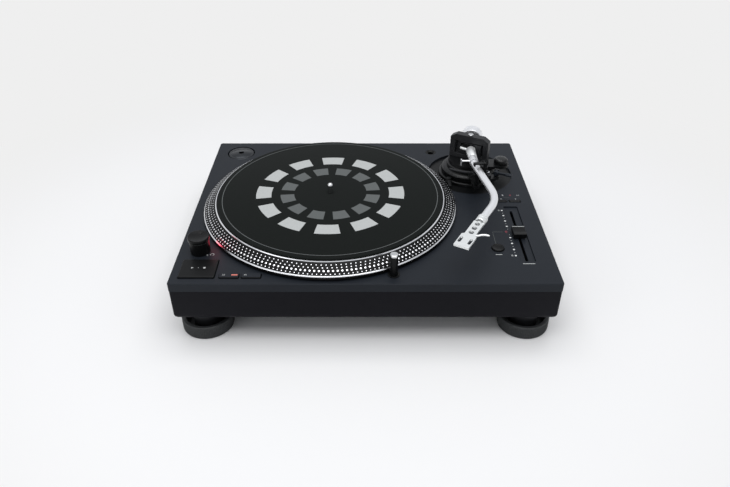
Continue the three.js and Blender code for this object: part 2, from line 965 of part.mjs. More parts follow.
function pitchPlate() {
  const low = -channelDepth + seatGap;
  const high = low + pitchPlateThickness;
  const depth = channelBack - channelFront;
  const outline = roundedRectangle(channelWidth - 2 * slideGap, depth - 2 * slideGap, channelCorner,
    channelX, (channelFront + channelBack) / 2);
  return cut(prism(outline, low, high), slotCut(low - overrun, high + overrun));
}

// Open channel under the deck that holds the slider's resistance track
function sliderTrack() {
  const high = -deckPlate - seatGap;
  const reach = pitchTravel + stemDepth / 2 + trackMargin;
  const [groove, run] = [trackWidth - 2 * trackWall, 2 * (reach - trackWall)];
  return cut(
    blockAt(slotX, pitchMiddle, trackWidth, 2 * reach, high - trackHeight, high),
    blockAt(slotX, pitchMiddle, groove, run, stemLow - seatGap, high + overrun),
  );
}

function pitchKnob() {
  const grip = knobDepth / 2 - knobGrip;
  const side = [
    [-knobDepth / 2, knobLift],
    [knobDepth / 2, knobLift],
    [knobDepth / 2, knobHeight - knobGrip / 2],
    [grip, knobHeight],
    [0, knobHeight - knobGrip],
    [-grip, knobHeight],
    [-knobDepth / 2, knobHeight - knobGrip / 2],
  ];
  const shape = new THREE.Shape(side.map(([y, z]) => new THREE.Vector2(y, z)));
  const cap = new THREE.ExtrudeGeometry(shape, { depth: knobWidth, bevelEnabled: false });
  cap.rotateX(quarterTurn);
  cap.rotateZ(quarterTurn);
  cap.translate(slotX - knobWidth / 2, pitchMiddle, 0);
  return join(solidOf(cap), blockAt(slotX, pitchMiddle, stemWidth, stemDepth, stemLow, knobLift + knobGrip));
}

function resetButton() {
  return turned([
    [0, buttonLow],
    [resetRadius, buttonLow],
    [resetRadius, resetLift - buttonEdge],
    [resetRadius - buttonEdge, resetLift],
    [0, resetLift - resetDish],
  ], resetX, resetY);
}

// Board on four pillars, with a few parts on it
function board(x, y, width, depth, parts) {
  const stand = coverTop + seatGap;
  const low = stand + pillarHeight;
  const high = low + boardThickness;
  const [right, back] = [width / 2 - pillarInset, depth / 2 - pillarInset];
  const pillars = [[-right, -back], [right, -back], [-right, back], [right, back]].map(([dx, dy]) =>
    drum(pillarRadius, stand, low + boardThickness / 2, x + dx, y + dy));
  const fitted = parts.map(([dxShare, dyShare, widthShare, depthShare, heightShare]) =>
    blockAt(x + dxShare * width, y + dyShare * depth, widthShare * width, depthShare * depth,
      low + boardThickness / 2, high + heightShare * pillarHeight));
  return join(blockAt(x, y, width, depth, low, high), ...pillars, ...fitted);
}

const mainBoardShares = [
  [-0.25, 0.1, 0.16, 0.24, 0.5],
  [0.05, -0.15, 0.12, 0.18, 0.4],
  [0.3, 0.2, 0.14, 0.2, 1.2],
  [0.28, -0.25, 0.2, 0.14, 0.8],
];
const supplyShares = [
  [-0.15, 0.1, 0.45, 0.38, 2],
  [0.28, 0.25, 0.2, 0.16, 2.2],
  [0.28, -0.05, 0.2, 0.16, 2.2],
  [-0.1, -0.3, 0.5, 0.12, 1.4],
];

// Box sunk into the rear wall, open to the back
function terminalBox(x, width) {
  const back = cabinetDepth / 2;
  const high = terminalLow + terminalHeight;
  return cut(
    block(x - width / 2, x + width / 2, back - terminalDepth, back, terminalLow, high),
    block(x - width / 2 + terminalWall, x + width / 2 - terminalWall, back - terminalDepth + terminalWall,
      back + overrun, terminalLow + terminalWall, high - terminalWall),
  );
}

function signalTerminals() {
  const wall = cabinetDepth / 2 - terminalDepth + terminalWall / 2;
  const height = terminalLow + terminalHeight / 2;
  const jacks = [-jackSpacing, 0].map((dx) =>
    rod([outletX + dx, wall, height], [outletX + dx, wall + jackLength, height], jackRadius));
  const earth = rod([outletX + jackSpacing, wall, height], [outletX + jackSpacing, wall + jackLength, height],
    jackRadius / 2 + terminalWall / 2);
  return join(terminalBox(outletX, outletWidth), ...jacks, earth);
}

function mainsInlet() {
  const wall = cabinetDepth / 2 - terminalDepth + terminalWall / 2;
  const height = terminalLow + terminalHeight / 2;
  const pins = [-pinWidth, pinWidth].map((dx) =>
    blockAt(inletX + 2 * dx, wall + pinLength / 2, pinWidth, pinLength,
      height - pinWidth, height + pinWidth));
  return join(terminalBox(inletX, inletWidth), ...pins,
    blockAt(inletX, wall + socketBlock / 4, inletWidth - 2 * terminalWall, socketBlock / 2,
      terminalLow + terminalWall / 2, terminalLow + terminalWall + socketBlock / 4));
}

// Fixed plate in the recess, with a lobe for the lock lever and the sleeve that guides the column
function armBase() {
  const bore = columnRadius + slideGap;
  const plate = turned([
    [bore, columnLow],
    [bore + baseSleeve, columnLow],
    [bore + baseSleeve, -recessDepth + seatGap],
    [baseRadius, -recessDepth + seatGap],
    [baseRadius, baseTop - deckEdge],
    [baseRadius - deckEdge, baseTop],
    [bore, baseTop],
  ]);
  return join(plate, drum(lockHub + deckEdge, -recessDepth + seatGap, baseTop, lockX, lockY));
}

function heightRing() {
  const bore = columnRadius + slideGap;
  const low = baseTop + seatGap;
  return turned([
    [bore, low],
    [heightRingRadius, low],
    [heightRingRadius, heightRingTop - heightRingChamfer],
    [heightRingRadius - heightRingChamfer, heightRingTop],
    [bore, heightRingTop],
  ]);
}

const liftStemAngle = radians(liftRightDegrees);
const liftStemPlace = [liftRadius * Math.cos(liftStemAngle), liftRadius * Math.sin(liftStemAngle)];

// Where the tube's middle passes over the arm rest, and the tube's heading there
const secondRun = radians(firstBendDegrees);
const restPlace = [restDistance * Math.sin(secondRun), -firstBend - restDistance * Math.cos(secondRun)];

// Flat bar in plan between two points, with round ends
function strap(from, to, halfWidth, low, high) {
  const heading = Math.atan2(to[1] - from[1], to[0] - from[0]) * THREE.MathUtils.RAD2DEG;
  const steps = 2 * cornerSteps;
  return prism([
    ...arc(to[0], to[1], halfWidth, heading - 90, heading + 90, steps),
    ...arc(from[0], from[1], halfWidth, heading + 90, heading + 270, steps),
  ], low, high);
}

// Platform that rises with the height ring and carries the arm and everything around it
function armPlatform() {
  const collar = turned([
    [columnBore, columnLow],
    [columnRadius, columnLow],
    [columnRadius, collarLow],
    [collarWide, collarLow],
    [collarWide, collarWideTop],
    [collarNarrow, collarWideTop + deckEdge],
    [collarNarrow, collarTop],
    [columnBore, collarTop],
  ]);
  const tower = liftStem + slideGap + towerWall;
  const cueFoot = [cueX, cueY];
  return cut(
    join(
      collar,
      strap([collarWide / 2, skateY], [skateX, skateY], skatePad, collarLow, lobeTop),
      strap([0, -collarWide / 2], restPlace, tower, collarLow, lobeTop),
      strap([0, -collarWide / 2], liftStemPlace, tower, collarLow, lobeTop),
      strap(liftStemPlace, cueFoot, tower, collarLow, lobeTop),
      drum(tower, collarLow, towerTop, ...liftStemPlace),
      cueBracketSolid(),
    ),
    drum(liftStem + slideGap, collarLow - overrun, towerTop + overrun, ...liftStemPlace),
  );
}

// Ear that the cue lever turns on
function cueBracketSolid() {
  const ear = new THREE.BoxGeometry(2 * cueHub, cueBracket, cueHeight + cueHub - collarLow);
  ear.translate(0, cueHubLength / 2 + slideGap + cueBracket / 2, (cueHeight + cueHub + collarLow) / 2);
  ear.rotateZ(radians(cueTurn));
  ear.translate(cueX, cueY, 0);
  return solidOf(ear);
}

function heightLockLever() {
  const low = baseTop + seatGap;
  return join(
    drum(lockHub, low, low + lockHeight, lockX, lockY),
    strap([lockX, lockY], [lockX, lockY - lockReach], lockWidth / 2,
      low + lockHeight / 3, low + lockHeight * 2 / 3),
  );
}

function antiSkatingDial() {
  const high = skateLow + skateHeight;
  return turned([
    [0, skateLow],
    [skateRadius, skateLow],
    [skateRadius, high - buttonEdge],
    [skateRadius - buttonEdge, high],
    [0, high],
  ], skateX, skateY);
}

function cueLever() {
  const hub = new THREE.CylinderGeometry(cueHub, cueHub, cueHubLength, tinySides);
  const bar = new THREE.BoxGeometry(cueReach, cueBar, cueBar);
  bar.translate(cueReach / 2, 0, 0);
  const paddle = new THREE.BoxGeometry(cuePaddleLength, cuePaddleWidth, cueBar * 3 / 4);
  paddle.translate(cueReach, 0, 0);
  const parts = [hub, bar, paddle].map((form) => {
    form.rotateZ(radians(cueTurn));
    form.translate(cueX, cueY, cueHeight);
    return solidOf(form);
  });
  return join(...parts);
}

function liftBar() {
  const outline = [
    ...arc(0, 0, liftRadius + liftWidth / 2, liftLeftDegrees, liftRightDegrees, liftSteps),
    ...arc(0, 0, liftRadius - liftWidth / 2, liftRightDegrees, liftLeftDegrees, liftSteps),
  ];
  return join(
    prism(outline, liftTop - liftThickness, liftTop),
    drum(liftStem, collarLow, liftTop, ...liftStemPlace),
  );
}

const clipLow = armHeight + tubeRadius + clipClear;
const clipAxisX = cradleWidth / 2 + clipHub;
const clipAxisHeight = clipLow + clipThickness / 2;
const clipWidth = cradleLength - 2 * (cheekThickness + slideGap);

// Post with a cradle for the tube, open on the platter's side, and a fork for the clip
function armRest() {
  const low = lobeTop + seatGap;
  const cradleLow = armHeight - cradleDrop;
  const halfLength = cradleLength / 2;
  const earTop = clipAxisHeight - clipHub - slideGap;
  const earRight = cradleWidth / 2 + cradleEar;
  const earLeft = earRight - 2 * (earRight - clipAxisX);
  const cheeks = [-halfLength, halfLength - cheekThickness].map((front) =>
    block(earLeft, earRight, front, front + cheekThickness, earTop - overrun, clipAxisHeight + clipHub));
  const groove = rod([0, -cradleLength, armHeight], [0, cradleLength, armHeight], tubeRadius + slideGap);
  const mouth = blockAt(0, 0, 2 * (tubeRadius + slideGap), 2 * cradleLength, armHeight, clipLow);
  const openSide = block(-cradleWidth, 0, -cradleLength, cradleLength,
    armHeight - tubeRadius - slideGap, clipLow);
  return cut(
    join(
      drum(restPost, low, cradleLow + overrun),
      blockAt(0, 0, cradleWidth, cradleLength, cradleLow, armHeight + cradleRise),
      block(earLeft, earRight, -halfLength, halfLength, cradleLow, earTop),
      ...cheeks,
    ),
    groove,
    mouth,
    openSide,
  );
}

// Clip that lies over the tube, clear of it, and swings up and over to the right
function armClip() {
  const [front, back] = [-clipWidth / 2, clipWidth / 2];
  const left = -cradleWidth / 2;
  return join(
    rod([clipAxisX, front, clipAxisHeight], [clipAxisX, back, clipAxisHeight], clipHub),
    block(left, clipAxisX, front, back, clipLow, clipLow + clipThickness),
    block(left, left + clipThickness, front, back, clipLow - clipLip, clipLow + clipThickness),
  );
}

// Outer housing of the gimbal, with the pin that the inner ring stands on
function gimbalHousing() {
  const low = collarTop + seatGap;
  const outline = [
    [-housingHalfWidth, low],
    [housingHalfWidth, low],
    [housingHalfWidth, housingTop - housingChamferHeight],
    [housingHalfWidth - housingChamfer, housingTop],
    [-housingHalfWidth + housingChamfer, housingTop],
    [-housingHalfWidth, housingTop - housingChamferHeight],
  ];
  const shape = new THREE.Shape(outline.map(([x, z]) => new THREE.Vector2(x, z)));
  const plate = new THREE.ExtrudeGeometry(shape, { depth: 2 * housingHalfDepth, bevelEnabled: false });
  plate.rotateX(quarterTurn);
  plate.translate(0, housingHalfDepth, 0);
  const windowLowEdge = low + windowBase;
  const windowSide = housingHalfWidth - housingSide;
  return join(
    cut(
      solidOf(plate),
      block(-windowSide, windowSide, -2 * housingHalfDepth, 2 * housingHalfDepth,
        windowLowEdge, windowTop),
      drum(pivotPin + slideGap, windowTop - overrun, housingTop + overrun),
    ),
    drum(pivotPin, windowLowEdge - overrun, windowLowEdge + ringRun + pinDepth),
  );
}

function topPivotScrew() {
  const headLow = housingTop + seatGap;
  return join(
    drum(pivotPin, windowTop - ringRun - pinDepth, headLow + screwHeadHeight / 2),
    drum(screwHead, headLow, headLow + screwHeadHeight),
  );
}

// Inner ring that swings on the upright pins and holds the tilt pins
function gimbalRing() {
  const low = collarTop + seatGap + windowBase + ringRun;
  const high = windowTop - ringRun;
  const inner = ringHalfWidth - ringSide;
  const hole = drum(pivotPin + slideGap, low - overrun, high + overrun);
  const frame = cut(
    block(-ringHalfWidth, ringHalfWidth, -ringHalfDepth, ringHalfDepth, low, high),
    block(-inner, inner, -2 * ringHalfDepth, 2 * ringHalfDepth, low + ringBar, high - ringBar),
    hole,
  );
  const pinEnd = blockHalfWidth - pinDepth;
  return join(
    frame,
    rod([-inner - overrun, 0, armHeight], [-pinEnd, 0, armHeight], tiltPin),
    rod([inner + overrun, 0, armHeight], [pinEnd, 0, armHeight], tiltPin),
  );
}

// Direction in plan, turned clockwise from straight back, in the inner ring's own axes
const fromRing = (degrees) => {
  const angle = radians(degrees - ringTurn);
  return [Math.sin(angle), Math.cos(angle)];
};

// Block between the tilt pins, with the spigot for the boss and the shaft that carries the counterweight
function pivotBlock() {
  const body = block(-blockHalfWidth, blockHalfWidth, -blockHalfDepth, blockHalfDepth,
    armHeight - blockHalfHeight, armHeight + blockHalfHeight);
  const holeMouth = blockHalfWidth + overrun;
  const holeEnd = blockHalfWidth - pinDepth - slideGap;
  const pinHoles = [-1, 1].map((side) =>
    rod([side * holeMouth, 0, armHeight], [side * holeEnd, 0, armHeight], tiltPin + slideGap));
  const along = ([x, y], distance) => [x * distance, y * distance, armHeight];
  return cut(
    join(
      body,
      rod([0, 0, armHeight], along(fromRing(0), -bossStart + slideGap), blockHalfHeight, smallSides),
      rod([0, 0, armHeight], along(fromRing(rearTurn), rearShaftEnd), rearShaftRadius, smallSides),
    ),
    ...pinHoles,
  );
}

function tubeBoss() {
  return turnedAlongY([
    [tubeRadius + slideGap, -bossEnd],
    [bossNarrow, -bossEnd],
    [bossWide, -bossStart],
    [tubeRadius + slideGap, -bossStart],
  ], armHeight);
}

const secondCorner = [secondBendRun * Math.sin(secondRun), -firstBend - secondBendRun * Math.cos(secondRun)];
const shellTurn = secondBendDegrees - firstBendDegrees;
const shellHeading = [-Math.sin(radians(shellTurn)), -Math.cos(radians(shellTurn))];
const alongShell = (distance) => [
  secondCorner[0] + distance * shellHeading[0],
  secondCorner[1] + distance * shellHeading[1],
];

// Middle line of the tube: three straight runs joined by two bends
function tubePath() {
  const end = alongShell(shellStart - plugLength - slideGap);
  const corners = [[0, -tubeStart], [0, -firstBend], secondCorner, end]
    .map(([x, y]) => new THREE.Vector3(x, y, armHeight));
  const bends = [[firstBendRadius, firstBendDegrees], [secondBendRadius, secondBendDegrees]];
  const path = new THREE.CurvePath();
  let start = corners[0];
  bends.forEach(([radius, degrees], bend) => {
    const reach = radius * Math.tan(radians(degrees) / 2);
    const corner = corners[bend + 1];
    const entry = corner.clone().addScaledVector(corners[bend].clone().sub(corner).normalize(), reach);
    const exit = corner.clone().addScaledVector(corners[bend + 2].clone().sub(corner).normalize(), reach);
    path.add(new THREE.LineCurve3(start, entry));
    path.add(new THREE.QuadraticBezierCurve3(entry, corner, exit));
    start = exit;
  });
  path.add(new THREE.LineCurve3(start, corners[3]));
  return path;
}

const circle = (radius, sides) => arc(0, 0, radius, 0, 360 - 360 / sides, sides - 1);

// Round section swept along a path, hollow where a bore is given
function swept(path, steps, radius, sides, bore = 0) {
  const section = new THREE.Shape(flatPoints(circle(radius, sides)));
  if (bore > 0) section.holes.push(new THREE.Path(flatPoints(circle(bore, boreSides))));
  return new THREE.ExtrudeGeometry(section, { extrudePath: path, steps, bevelEnabled: false });
}

function armTube() {
  return solidOf(swept(tubePath(), tubeSteps, tubeRadius, tubeSides, tubeBore));
}

// Clamp on the tube with the side pin and its hook
function armCollar() {
  const half = clampSize / 2;
  const y = -clampDistance;
  const hookX = -half - sidePinLength;
  const alongTube = (reach, radius) =>
    rod([0, y - reach, armHeight], [0, y + reach, armHeight], radius, smallSides);
  const clamp = join(
    block(-half, half, y - half, y + half, armHeight - half, armHeight + half),
    alongTube(half, half + sidePinRadius),
  );
  return join(
    cut(clamp, alongTube(clampSize, tubeRadius + slideGap)),
    rod([-tubeRadius - 2 * slideGap, y, armHeight], [hookX, y, armHeight], sidePinRadius),
    blockAt(hookX, y, hookThickness, hookWidth, armHeight - hookDrop, armHeight + hookRise),
  );
}

// Turns and moves a form from the headshell's own axes, +Y forwards, to its place on the arm
function placeOnShell(form, distance, height) {
  const [x, y] = alongShell(distance);
  form.rotateZ(halfTurn - radians(shellTurn));
  form.translate(x, y, height);
  return solidOf(form);
}

function headshellNut() {
  const length = nutEnd - nutStart;
  const bore = tubeRadius + slideGap;
  const profile = [
    [bore, 0],
    [nutRadius - nutGroove, 0],
    [nutRadius, nutGroove],
    [nutRadius, length / 2 - nutGroove],
    [nutRadius - nutGroove, length / 2],
    [nutRadius, length / 2 + nutGroove],
    [nutRadius, length - nutGroove],
    [nutRadius - nutGroove, length],
    [bore, length],
    [bore, 0],
  ].map(([radius, along]) => new THREE.Vector2(radius, along));
  return placeOnShell(new THREE.LatheGeometry(profile, smallSides), nutStart, armHeight);
}

const shellTop = armHeight + shellRise;

function headshell() {
  const wide = neckLength + flareLength;
  const outline = [
    [-neckHalfWidth, 0],
    [neckHalfWidth, 0],
    [neckHalfWidth, neckLength],
    [faceHalfWidth, wide],
    [faceHalfWidth, shellLength],
    [-faceHalfWidth, shellLength],
    [-faceHalfWidth, wide],
    [-neckHalfWidth, neckLength],
  ];
  const shape = new THREE.Shape(flatPoints(outline));
  [0, 1, 2].forEach((hole) => {
    const points = circle(roundHoleRadius, tinySides).map(([x, y]) => [x, y + firstHole + hole * holePitch]);
    shape.holes.push(new THREE.Path(flatPoints(points)));
  });
  [-slotOffset, slotOffset].forEach((x) => {
    const straight = slotHalfLength - slotHalfWidth;
    const points = [
      ...arc(x, slotCentre + straight, slotHalfWidth, 0, 180, 2 * cornerSteps),
      ...arc(x, slotCentre - straight, slotHalfWidth, 180, 360, 2 * cornerSteps),
    ];
    shape.holes.push(new THREE.Path(flatPoints(points)));
  });
  const plate = new THREE.ExtrudeGeometry(shape, { depth: shellThickness, bevelEnabled: false });
  const lip = new THREE.BoxGeometry(2 * faceHalfWidth, lipLength, shellThickness + lipDrop);
  lip.translate(0, shellLength - lipLength / 2, (shellThickness - lipDrop) / 2);
  const plug = new THREE.CylinderGeometry(plugRadius, plugRadius, plugLength + plugNeck, smallSides);
  plug.translate(0, (plugNeck - plugLength) / 2, shellThickness - shellRise);
  const neck = new THREE.BoxGeometry(2 * plugRadius, 2 * plugNeck, shellThickness);
  neck.translate(0, plugNeck, shellThickness / 2);
  const forms = [plate, lip, neck].map((form) => placeOnShell(form, shellStart, shellTop - shellThickness));
  return join(...forms, placeOnShell(plug, shellStart, shellTop - shellThickness));
}

// Curved wire handle fixed to the side of the headshell's neck: out, back towards the arm, and out again
function fingerLift() {
  const side = neckHalfWidth + slideGap;
  const height = shellThickness / 2;
  const bend = side + liftOut / 4;
  const path = new THREE.CubicBezierCurve3(
    new THREE.Vector3(-side, liftAt, height),
    new THREE.Vector3(-bend, liftAt, height),
    new THREE.Vector3(-bend, liftAt - liftBack * 4 / 3, height),
    new THREE.Vector3(-side - liftOut, liftAt - liftBack, height + liftRise),
  );
  return placeOnShell(swept(path, wireSteps, liftWire, boreSides), shellStart, shellTop - shellThickness);
}

function ringAlongArm(inner, outer, from, to, edge) {
  return turnedAlongY([
    [inner, from],
    [outer - edge, from],
    [outer, from + edge],
    [outer, to - edge],
    [outer - edge, to],
    [inner, to],
  ], armHeight);
}

const weightHub = () => ringAlongArm(rearShaftRadius + slideGap, hubTube, hubStart, hubEnd, buttonEdge);
const onHub = hubTube + slideGap;
const forceDial = () => ringAlongArm(onHub, forceDialRadius, forceDialStart, forceDialEnd, buttonEdge);
const counterweight = () => ringAlongArm(onHub, weightRadius, weightStart, weightEnd, weightEdge);

piece('top_chassis', topChassis(), charcoalPaint, deck);
piece('base_cabinet', lowerCabinet(), charcoalPaint, deck);
piece('bottom_cover', bottomCover(), blackPlastic, deck);
for (const [place, x, y] of footPlaces()) {
  const foot = new THREE.Group();
  foot.position.set(x, y, 0);
  turntable.add(foot);
  piece(`foot_boot_${place}`, footBoot(), rubber, foot);
  piece(`foot_ring_${place}`, footRing(), blackPlastic, foot);
}
piece('platter', platter(), castAluminium, platterGroup);
piece('slipmat', slipmat(), feltCloth, platterGroup);
piece('rotor_magnet', rotorMagnet(), ferrite, platterGroup);
piece('spindle_shaft', spindleShaft(), chrome, platterGroup);
piece('spindle_bearing', spindleBearing(), steel, platterGroup);
piece('stator_board', statorBoard(), circuitBoard, platterGroup);
piece('start_stop_button', deckButton(startX, startY, startWidth, startDepth, startLift), blackPlastic, deck);
for (const [name, x] of [['speed_33_button', speedSlowX], ['speed_45_button', speedFastX]]) {
  piece(name, deckButton(x, speedY, speedWidth, speedDepth, speedLift), blackPlastic, deck);
}
piece('switch_board', switchBoard(), circuitBoard, deck);
const pod = new THREE.Group();
pod.position.set(podX, podY, 0);
deck.add(pod);
piece('strobe_housing', strobeHousing(), blackPlastic, pod);
piece('strobe_window', strobeWindow(), redLens, pod);
piece('power_dial', powerDial(), blackPlastic, pod);
const light = new THREE.Group();
light.position.set(lightX, lightY, 0);
deck.add(light);
piece('light_sleeve', lightSleeve(), blackPlastic, light);
piece('stylus_light', stylusLight(), chrome, light);
const adaptor = new THREE.Group();
adaptor.position.set(adaptorX, adaptorY, 0);
deck.add(adaptor);
piece('record_adaptor', recordAdaptor(), castAluminium, adaptor);
const socket = new THREE.Group();
socket.position.set(socketX, socketY, 0);
deck.add(socket);
piece('weight_socket', weightSocket(), blackPlastic, socket);
piece('pitch_plate', pitchPlate(), blackPlastic, deck);
piece('slider_track', sliderTrack(), blackPlastic, deck);
piece('pitch_knob', pitchKnob(), blackPlastic, deck);
piece('reset_button', resetButton(), blackPlastic, deck);
for (const [name, x] of [['range_button', rangeX], ['reverse_button', reverseX]]) {
  const button = deckButton(x, smallButtonY, smallButtonWidth, smallButtonDepth, smallButtonLift);
  piece(name, button, blackPlastic, deck);
}
const mainBoard = board(mainBoardX, mainBoardY, mainBoardWidth, mainBoardDepth, mainBoardShares);
piece('main_board', mainBoard, circuitBoard, deck);
const powerSupply = board(supplyX, supplyY, supplyWidth, supplyDepth, supplyShares);
piece('power_supply', powerSupply, circuitBoard, deck);
piece('signal_terminals', signalTerminals(), blackPlastic, deck);
piece('mains_inlet', mainsInlet(), blackPlastic, deck);
piece('arm_base', armBase(), castAluminium, armGroup);
piece('height_ring', heightRing(), blackPlastic, armGroup);
piece('height_lock_lever', heightLockLever(), blackPlastic, armGroup);
piece('arm_platform', armPlatform(), castAluminium, armGroup);
piece('anti_skating_dial', antiSkatingDial(), blackPlastic, armGroup);
piece('cue_lever', cueLever(), blackPlastic, armGroup);
piece('lift_bar', liftBar(), rubber, armGroup);
const rest = new THREE.Group();
rest.position.set(restPlace[0], restPlace[1], 0);
rest.rotation.z = secondRun;
armGroup.add(rest);
piece('arm_rest', armRest(), blackPlastic, rest);
piece('arm_clip', armClip(), blackPlastic, rest);
piece('gimbal_housing', gimbalHousing(), castAluminium, housingGroup);
piece('top_pivot_screw', topPivotScrew(), chrome, housingGroup);
piece('gimbal_ring', gimbalRing(), castAluminium, ringGroup);
piece('pivot_block', pivotBlock(), castAluminium, ringGroup);
piece('tube_boss', tubeBoss(), chrome, armGroup);
piece('arm_tube', armTube(), satinSilver, armGroup);
piece('arm_collar', armCollar(), chrome, armGroup);
piece('headshell_nut', headshellNut(), satinSilver, armGroup);
piece('headshell', headshell(), satinSilver, armGroup);
piece('finger_lift', fingerLift(), satinSilver, armGroup);
piece('weight_hub', weightHub(), blackPlastic, rearGroup);
piece('force_dial', forceDial(), blackPlastic, rearGroup);
piece('counterweight', counterweight(), chrome, rearGroup);

export default turntable;
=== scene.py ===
# %% [markdown]
# # A record player with an S-shaped arm
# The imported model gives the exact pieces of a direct-drive record player and how they move. This lesson
# dresses them: it gives each surface its real finish, and swaps the faceted round pieces for smooth ones
# with the ribs, dots, ticks and bright cut edges that the real machine has. Lengths are in millimetres
# until a mesh is made.

# %% Load the frame
import json
import math

import bmesh
import bpy
from mathutils import Matrix, Vector


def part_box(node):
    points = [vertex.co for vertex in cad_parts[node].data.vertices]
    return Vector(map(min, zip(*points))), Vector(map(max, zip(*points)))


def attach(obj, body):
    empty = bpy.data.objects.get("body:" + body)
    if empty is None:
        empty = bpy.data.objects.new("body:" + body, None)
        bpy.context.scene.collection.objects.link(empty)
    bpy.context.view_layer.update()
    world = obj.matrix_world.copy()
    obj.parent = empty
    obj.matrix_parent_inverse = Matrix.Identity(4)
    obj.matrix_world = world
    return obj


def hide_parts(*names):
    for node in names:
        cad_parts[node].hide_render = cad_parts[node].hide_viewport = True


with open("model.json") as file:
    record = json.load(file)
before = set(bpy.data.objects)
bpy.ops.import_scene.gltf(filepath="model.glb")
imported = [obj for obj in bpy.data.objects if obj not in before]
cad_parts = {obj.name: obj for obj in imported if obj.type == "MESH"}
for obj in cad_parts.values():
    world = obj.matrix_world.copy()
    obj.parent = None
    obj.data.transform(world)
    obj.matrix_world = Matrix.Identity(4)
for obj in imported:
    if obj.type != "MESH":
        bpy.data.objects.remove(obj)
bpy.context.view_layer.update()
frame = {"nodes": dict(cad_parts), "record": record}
MM = 0.001


def in_scene(name, data):
    """A new object that holds this data, linked to the scene."""
    made = bpy.data.objects.new(name, data)
    bpy.context.scene.collection.objects.link(made)
    return made


# %% [markdown]
# The camera stands in front and looks down on the deck. A photograph's perspective depends only on where
# the camera stands, so its place and tilt come first, and the lens then crops the picture.

# %% Set up the camera
CAMERA_TILT = 54.76
camera = in_scene("camera", bpy.data.cameras.new("camera"))
camera.location = (-0.00068, -0.76704, 0.55969)
camera.rotation_euler = (math.radians(CAMERA_TILT), 0, 0)
camera.data.sensor_width = 36
camera.data.lens = 32.816
camera.data.clip_start = 0.01
bpy.context.scene.camera = camera
print("camera looks down", round(90 - CAMERA_TILT, 2), "degrees")

# %% [markdown]
# A finish is picked as a colour on screen, which is sRGB, but a shader counts light, which is linear. One
# function turns one into the other, so every colour below can be read as an ordinary hex value.

# %% Turn a screen colour into light
def linear(code):
    """Linear RGBA of an sRGB hex value such as "2b2d31"."""
    shares = [int(code[place:place + 2], 16) / 255 for place in (0, 2, 4)]
    return (*[s / 12.92 if s <= 0.04045 else ((s + 0.055) / 1.055) ** 2.4 for s in shares], 1.0)


print("mid grey 808080 holds", round(linear("808080")[0], 3), "of white's light")

# %% [markdown]
# Shader nodes are added in one way throughout: a kind, its own settings, and what feeds it. A key is the
# name or number of an input, or else a property of the node. Every finish here is mixed by one function.
# Handling and dust make a surface uneven, so its colour drifts between two hex values and its roughness
# between two numbers. Its relief is a fine noise or, round an axis, the rings that a lathe tool leaves. The
# first number of each is the size of a spot or the distance between rings, in millimetres.

# %% Add a node, and mix a finish
SHINE = "Specular IOR Level"
WAVE_SPAN = 20


def add(tree, kind, settings=None, links=None):
    """Adds a node, sets its inputs or properties, and feeds its inputs from other nodes' outputs."""
    made = tree.nodes.new(kind)
    for key, value in (settings or {}).items():
        if isinstance(key, int) or key in made.inputs:
            made.inputs[key].default_value = value
        else:
            setattr(made, key, value)
    for key, source in (links or {}).items():
        tree.links.new(source, made.inputs[key])
    return made


def finish(name, code, metallic, roughness, drift=None, wear=None, relief=None, axis=None, detail=(3, 3),
           sockets=None):
    """A material of one colour and gloss, with its drift, its wear and its relief."""
    material = bpy.data.materials.new(name)
    material.use_nodes = True
    material.diffuse_color = linear(code)
    tree = material.node_tree
    shader = tree.nodes["Principled BSDF"]
    plain = {"Base Color": linear(code), "Metallic": metallic, "Roughness": roughness}
    for socket, value in (plain | (sockets or {})).items():
        shader.inputs[socket].default_value = value
    place = add(tree, "ShaderNodeTexCoord").outputs["Object"]
    if drift:
        size, dark, light = drift
        settings = {"Scale": 1 / (size * MM), "Detail": detail[0]}
        noise = add(tree, "ShaderNodeTexNoise", settings, {"Vector": place})
        mixed = add(tree, "ShaderNodeMix", {"data_type": "RGBA", 6: linear(dark), 7: linear(light)},
                    {0: noise.outputs["Fac"]})
        tree.links.new(mixed.outputs[2], shader.inputs["Base Color"])
    if wear:
        size, low, high = wear
        noise = add(tree, "ShaderNodeTexNoise", {"Scale": 1 / (size * MM), "Detail": 3}, {"Vector": place})
        settings = {"To Min": low, "To Max": high}
        spread = add(tree, "ShaderNodeMapRange", settings, {"Value": noise.outputs["Fac"]})
        tree.links.new(spread.outputs["Result"], shader.inputs["Roughness"])
    if relief:
        size, depth, strength = relief
        if axis:
            shift = {"Location": [-at * MM for at in axis]}
            centre = add(tree, "ShaderNodeMapping", shift, {"Vector": place})
            settings = {"wave_type": "RINGS", "rings_direction": "Z",
                        "Scale": 1 / (WAVE_SPAN * size * MM) * math.pi * 2}
            height = add(tree, "ShaderNodeTexWave", settings, {"Vector": centre.outputs["Vector"]})
        else:
            settings = {"Scale": 1 / (size * MM), "Detail": detail[1]}
            height = add(tree, "ShaderNodeTexNoise", settings, {"Vector": place})
        bump = add(tree, "ShaderNodeBump", {"Distance": depth * MM, "Strength": strength},
                   {"Height": height.outputs["Fac"]})
        tree.links.new(bump.outputs["Normal"], shader.inputs["Normal"])
    return material


print("finishes can be mixed")

# %% [markdown]
# ## The deck and the cabinet
# The deck is die-cast aluminium with a powder coat: baked paint with a very fine orange-peel that scatters
# the light, so the top looks charcoal and never mirror-like. The cabinet under it is moulded plastic, a
# shade darker. Both get a grain that is drawn coarser than the real tenth of a millimetre, so that it still
# shows.

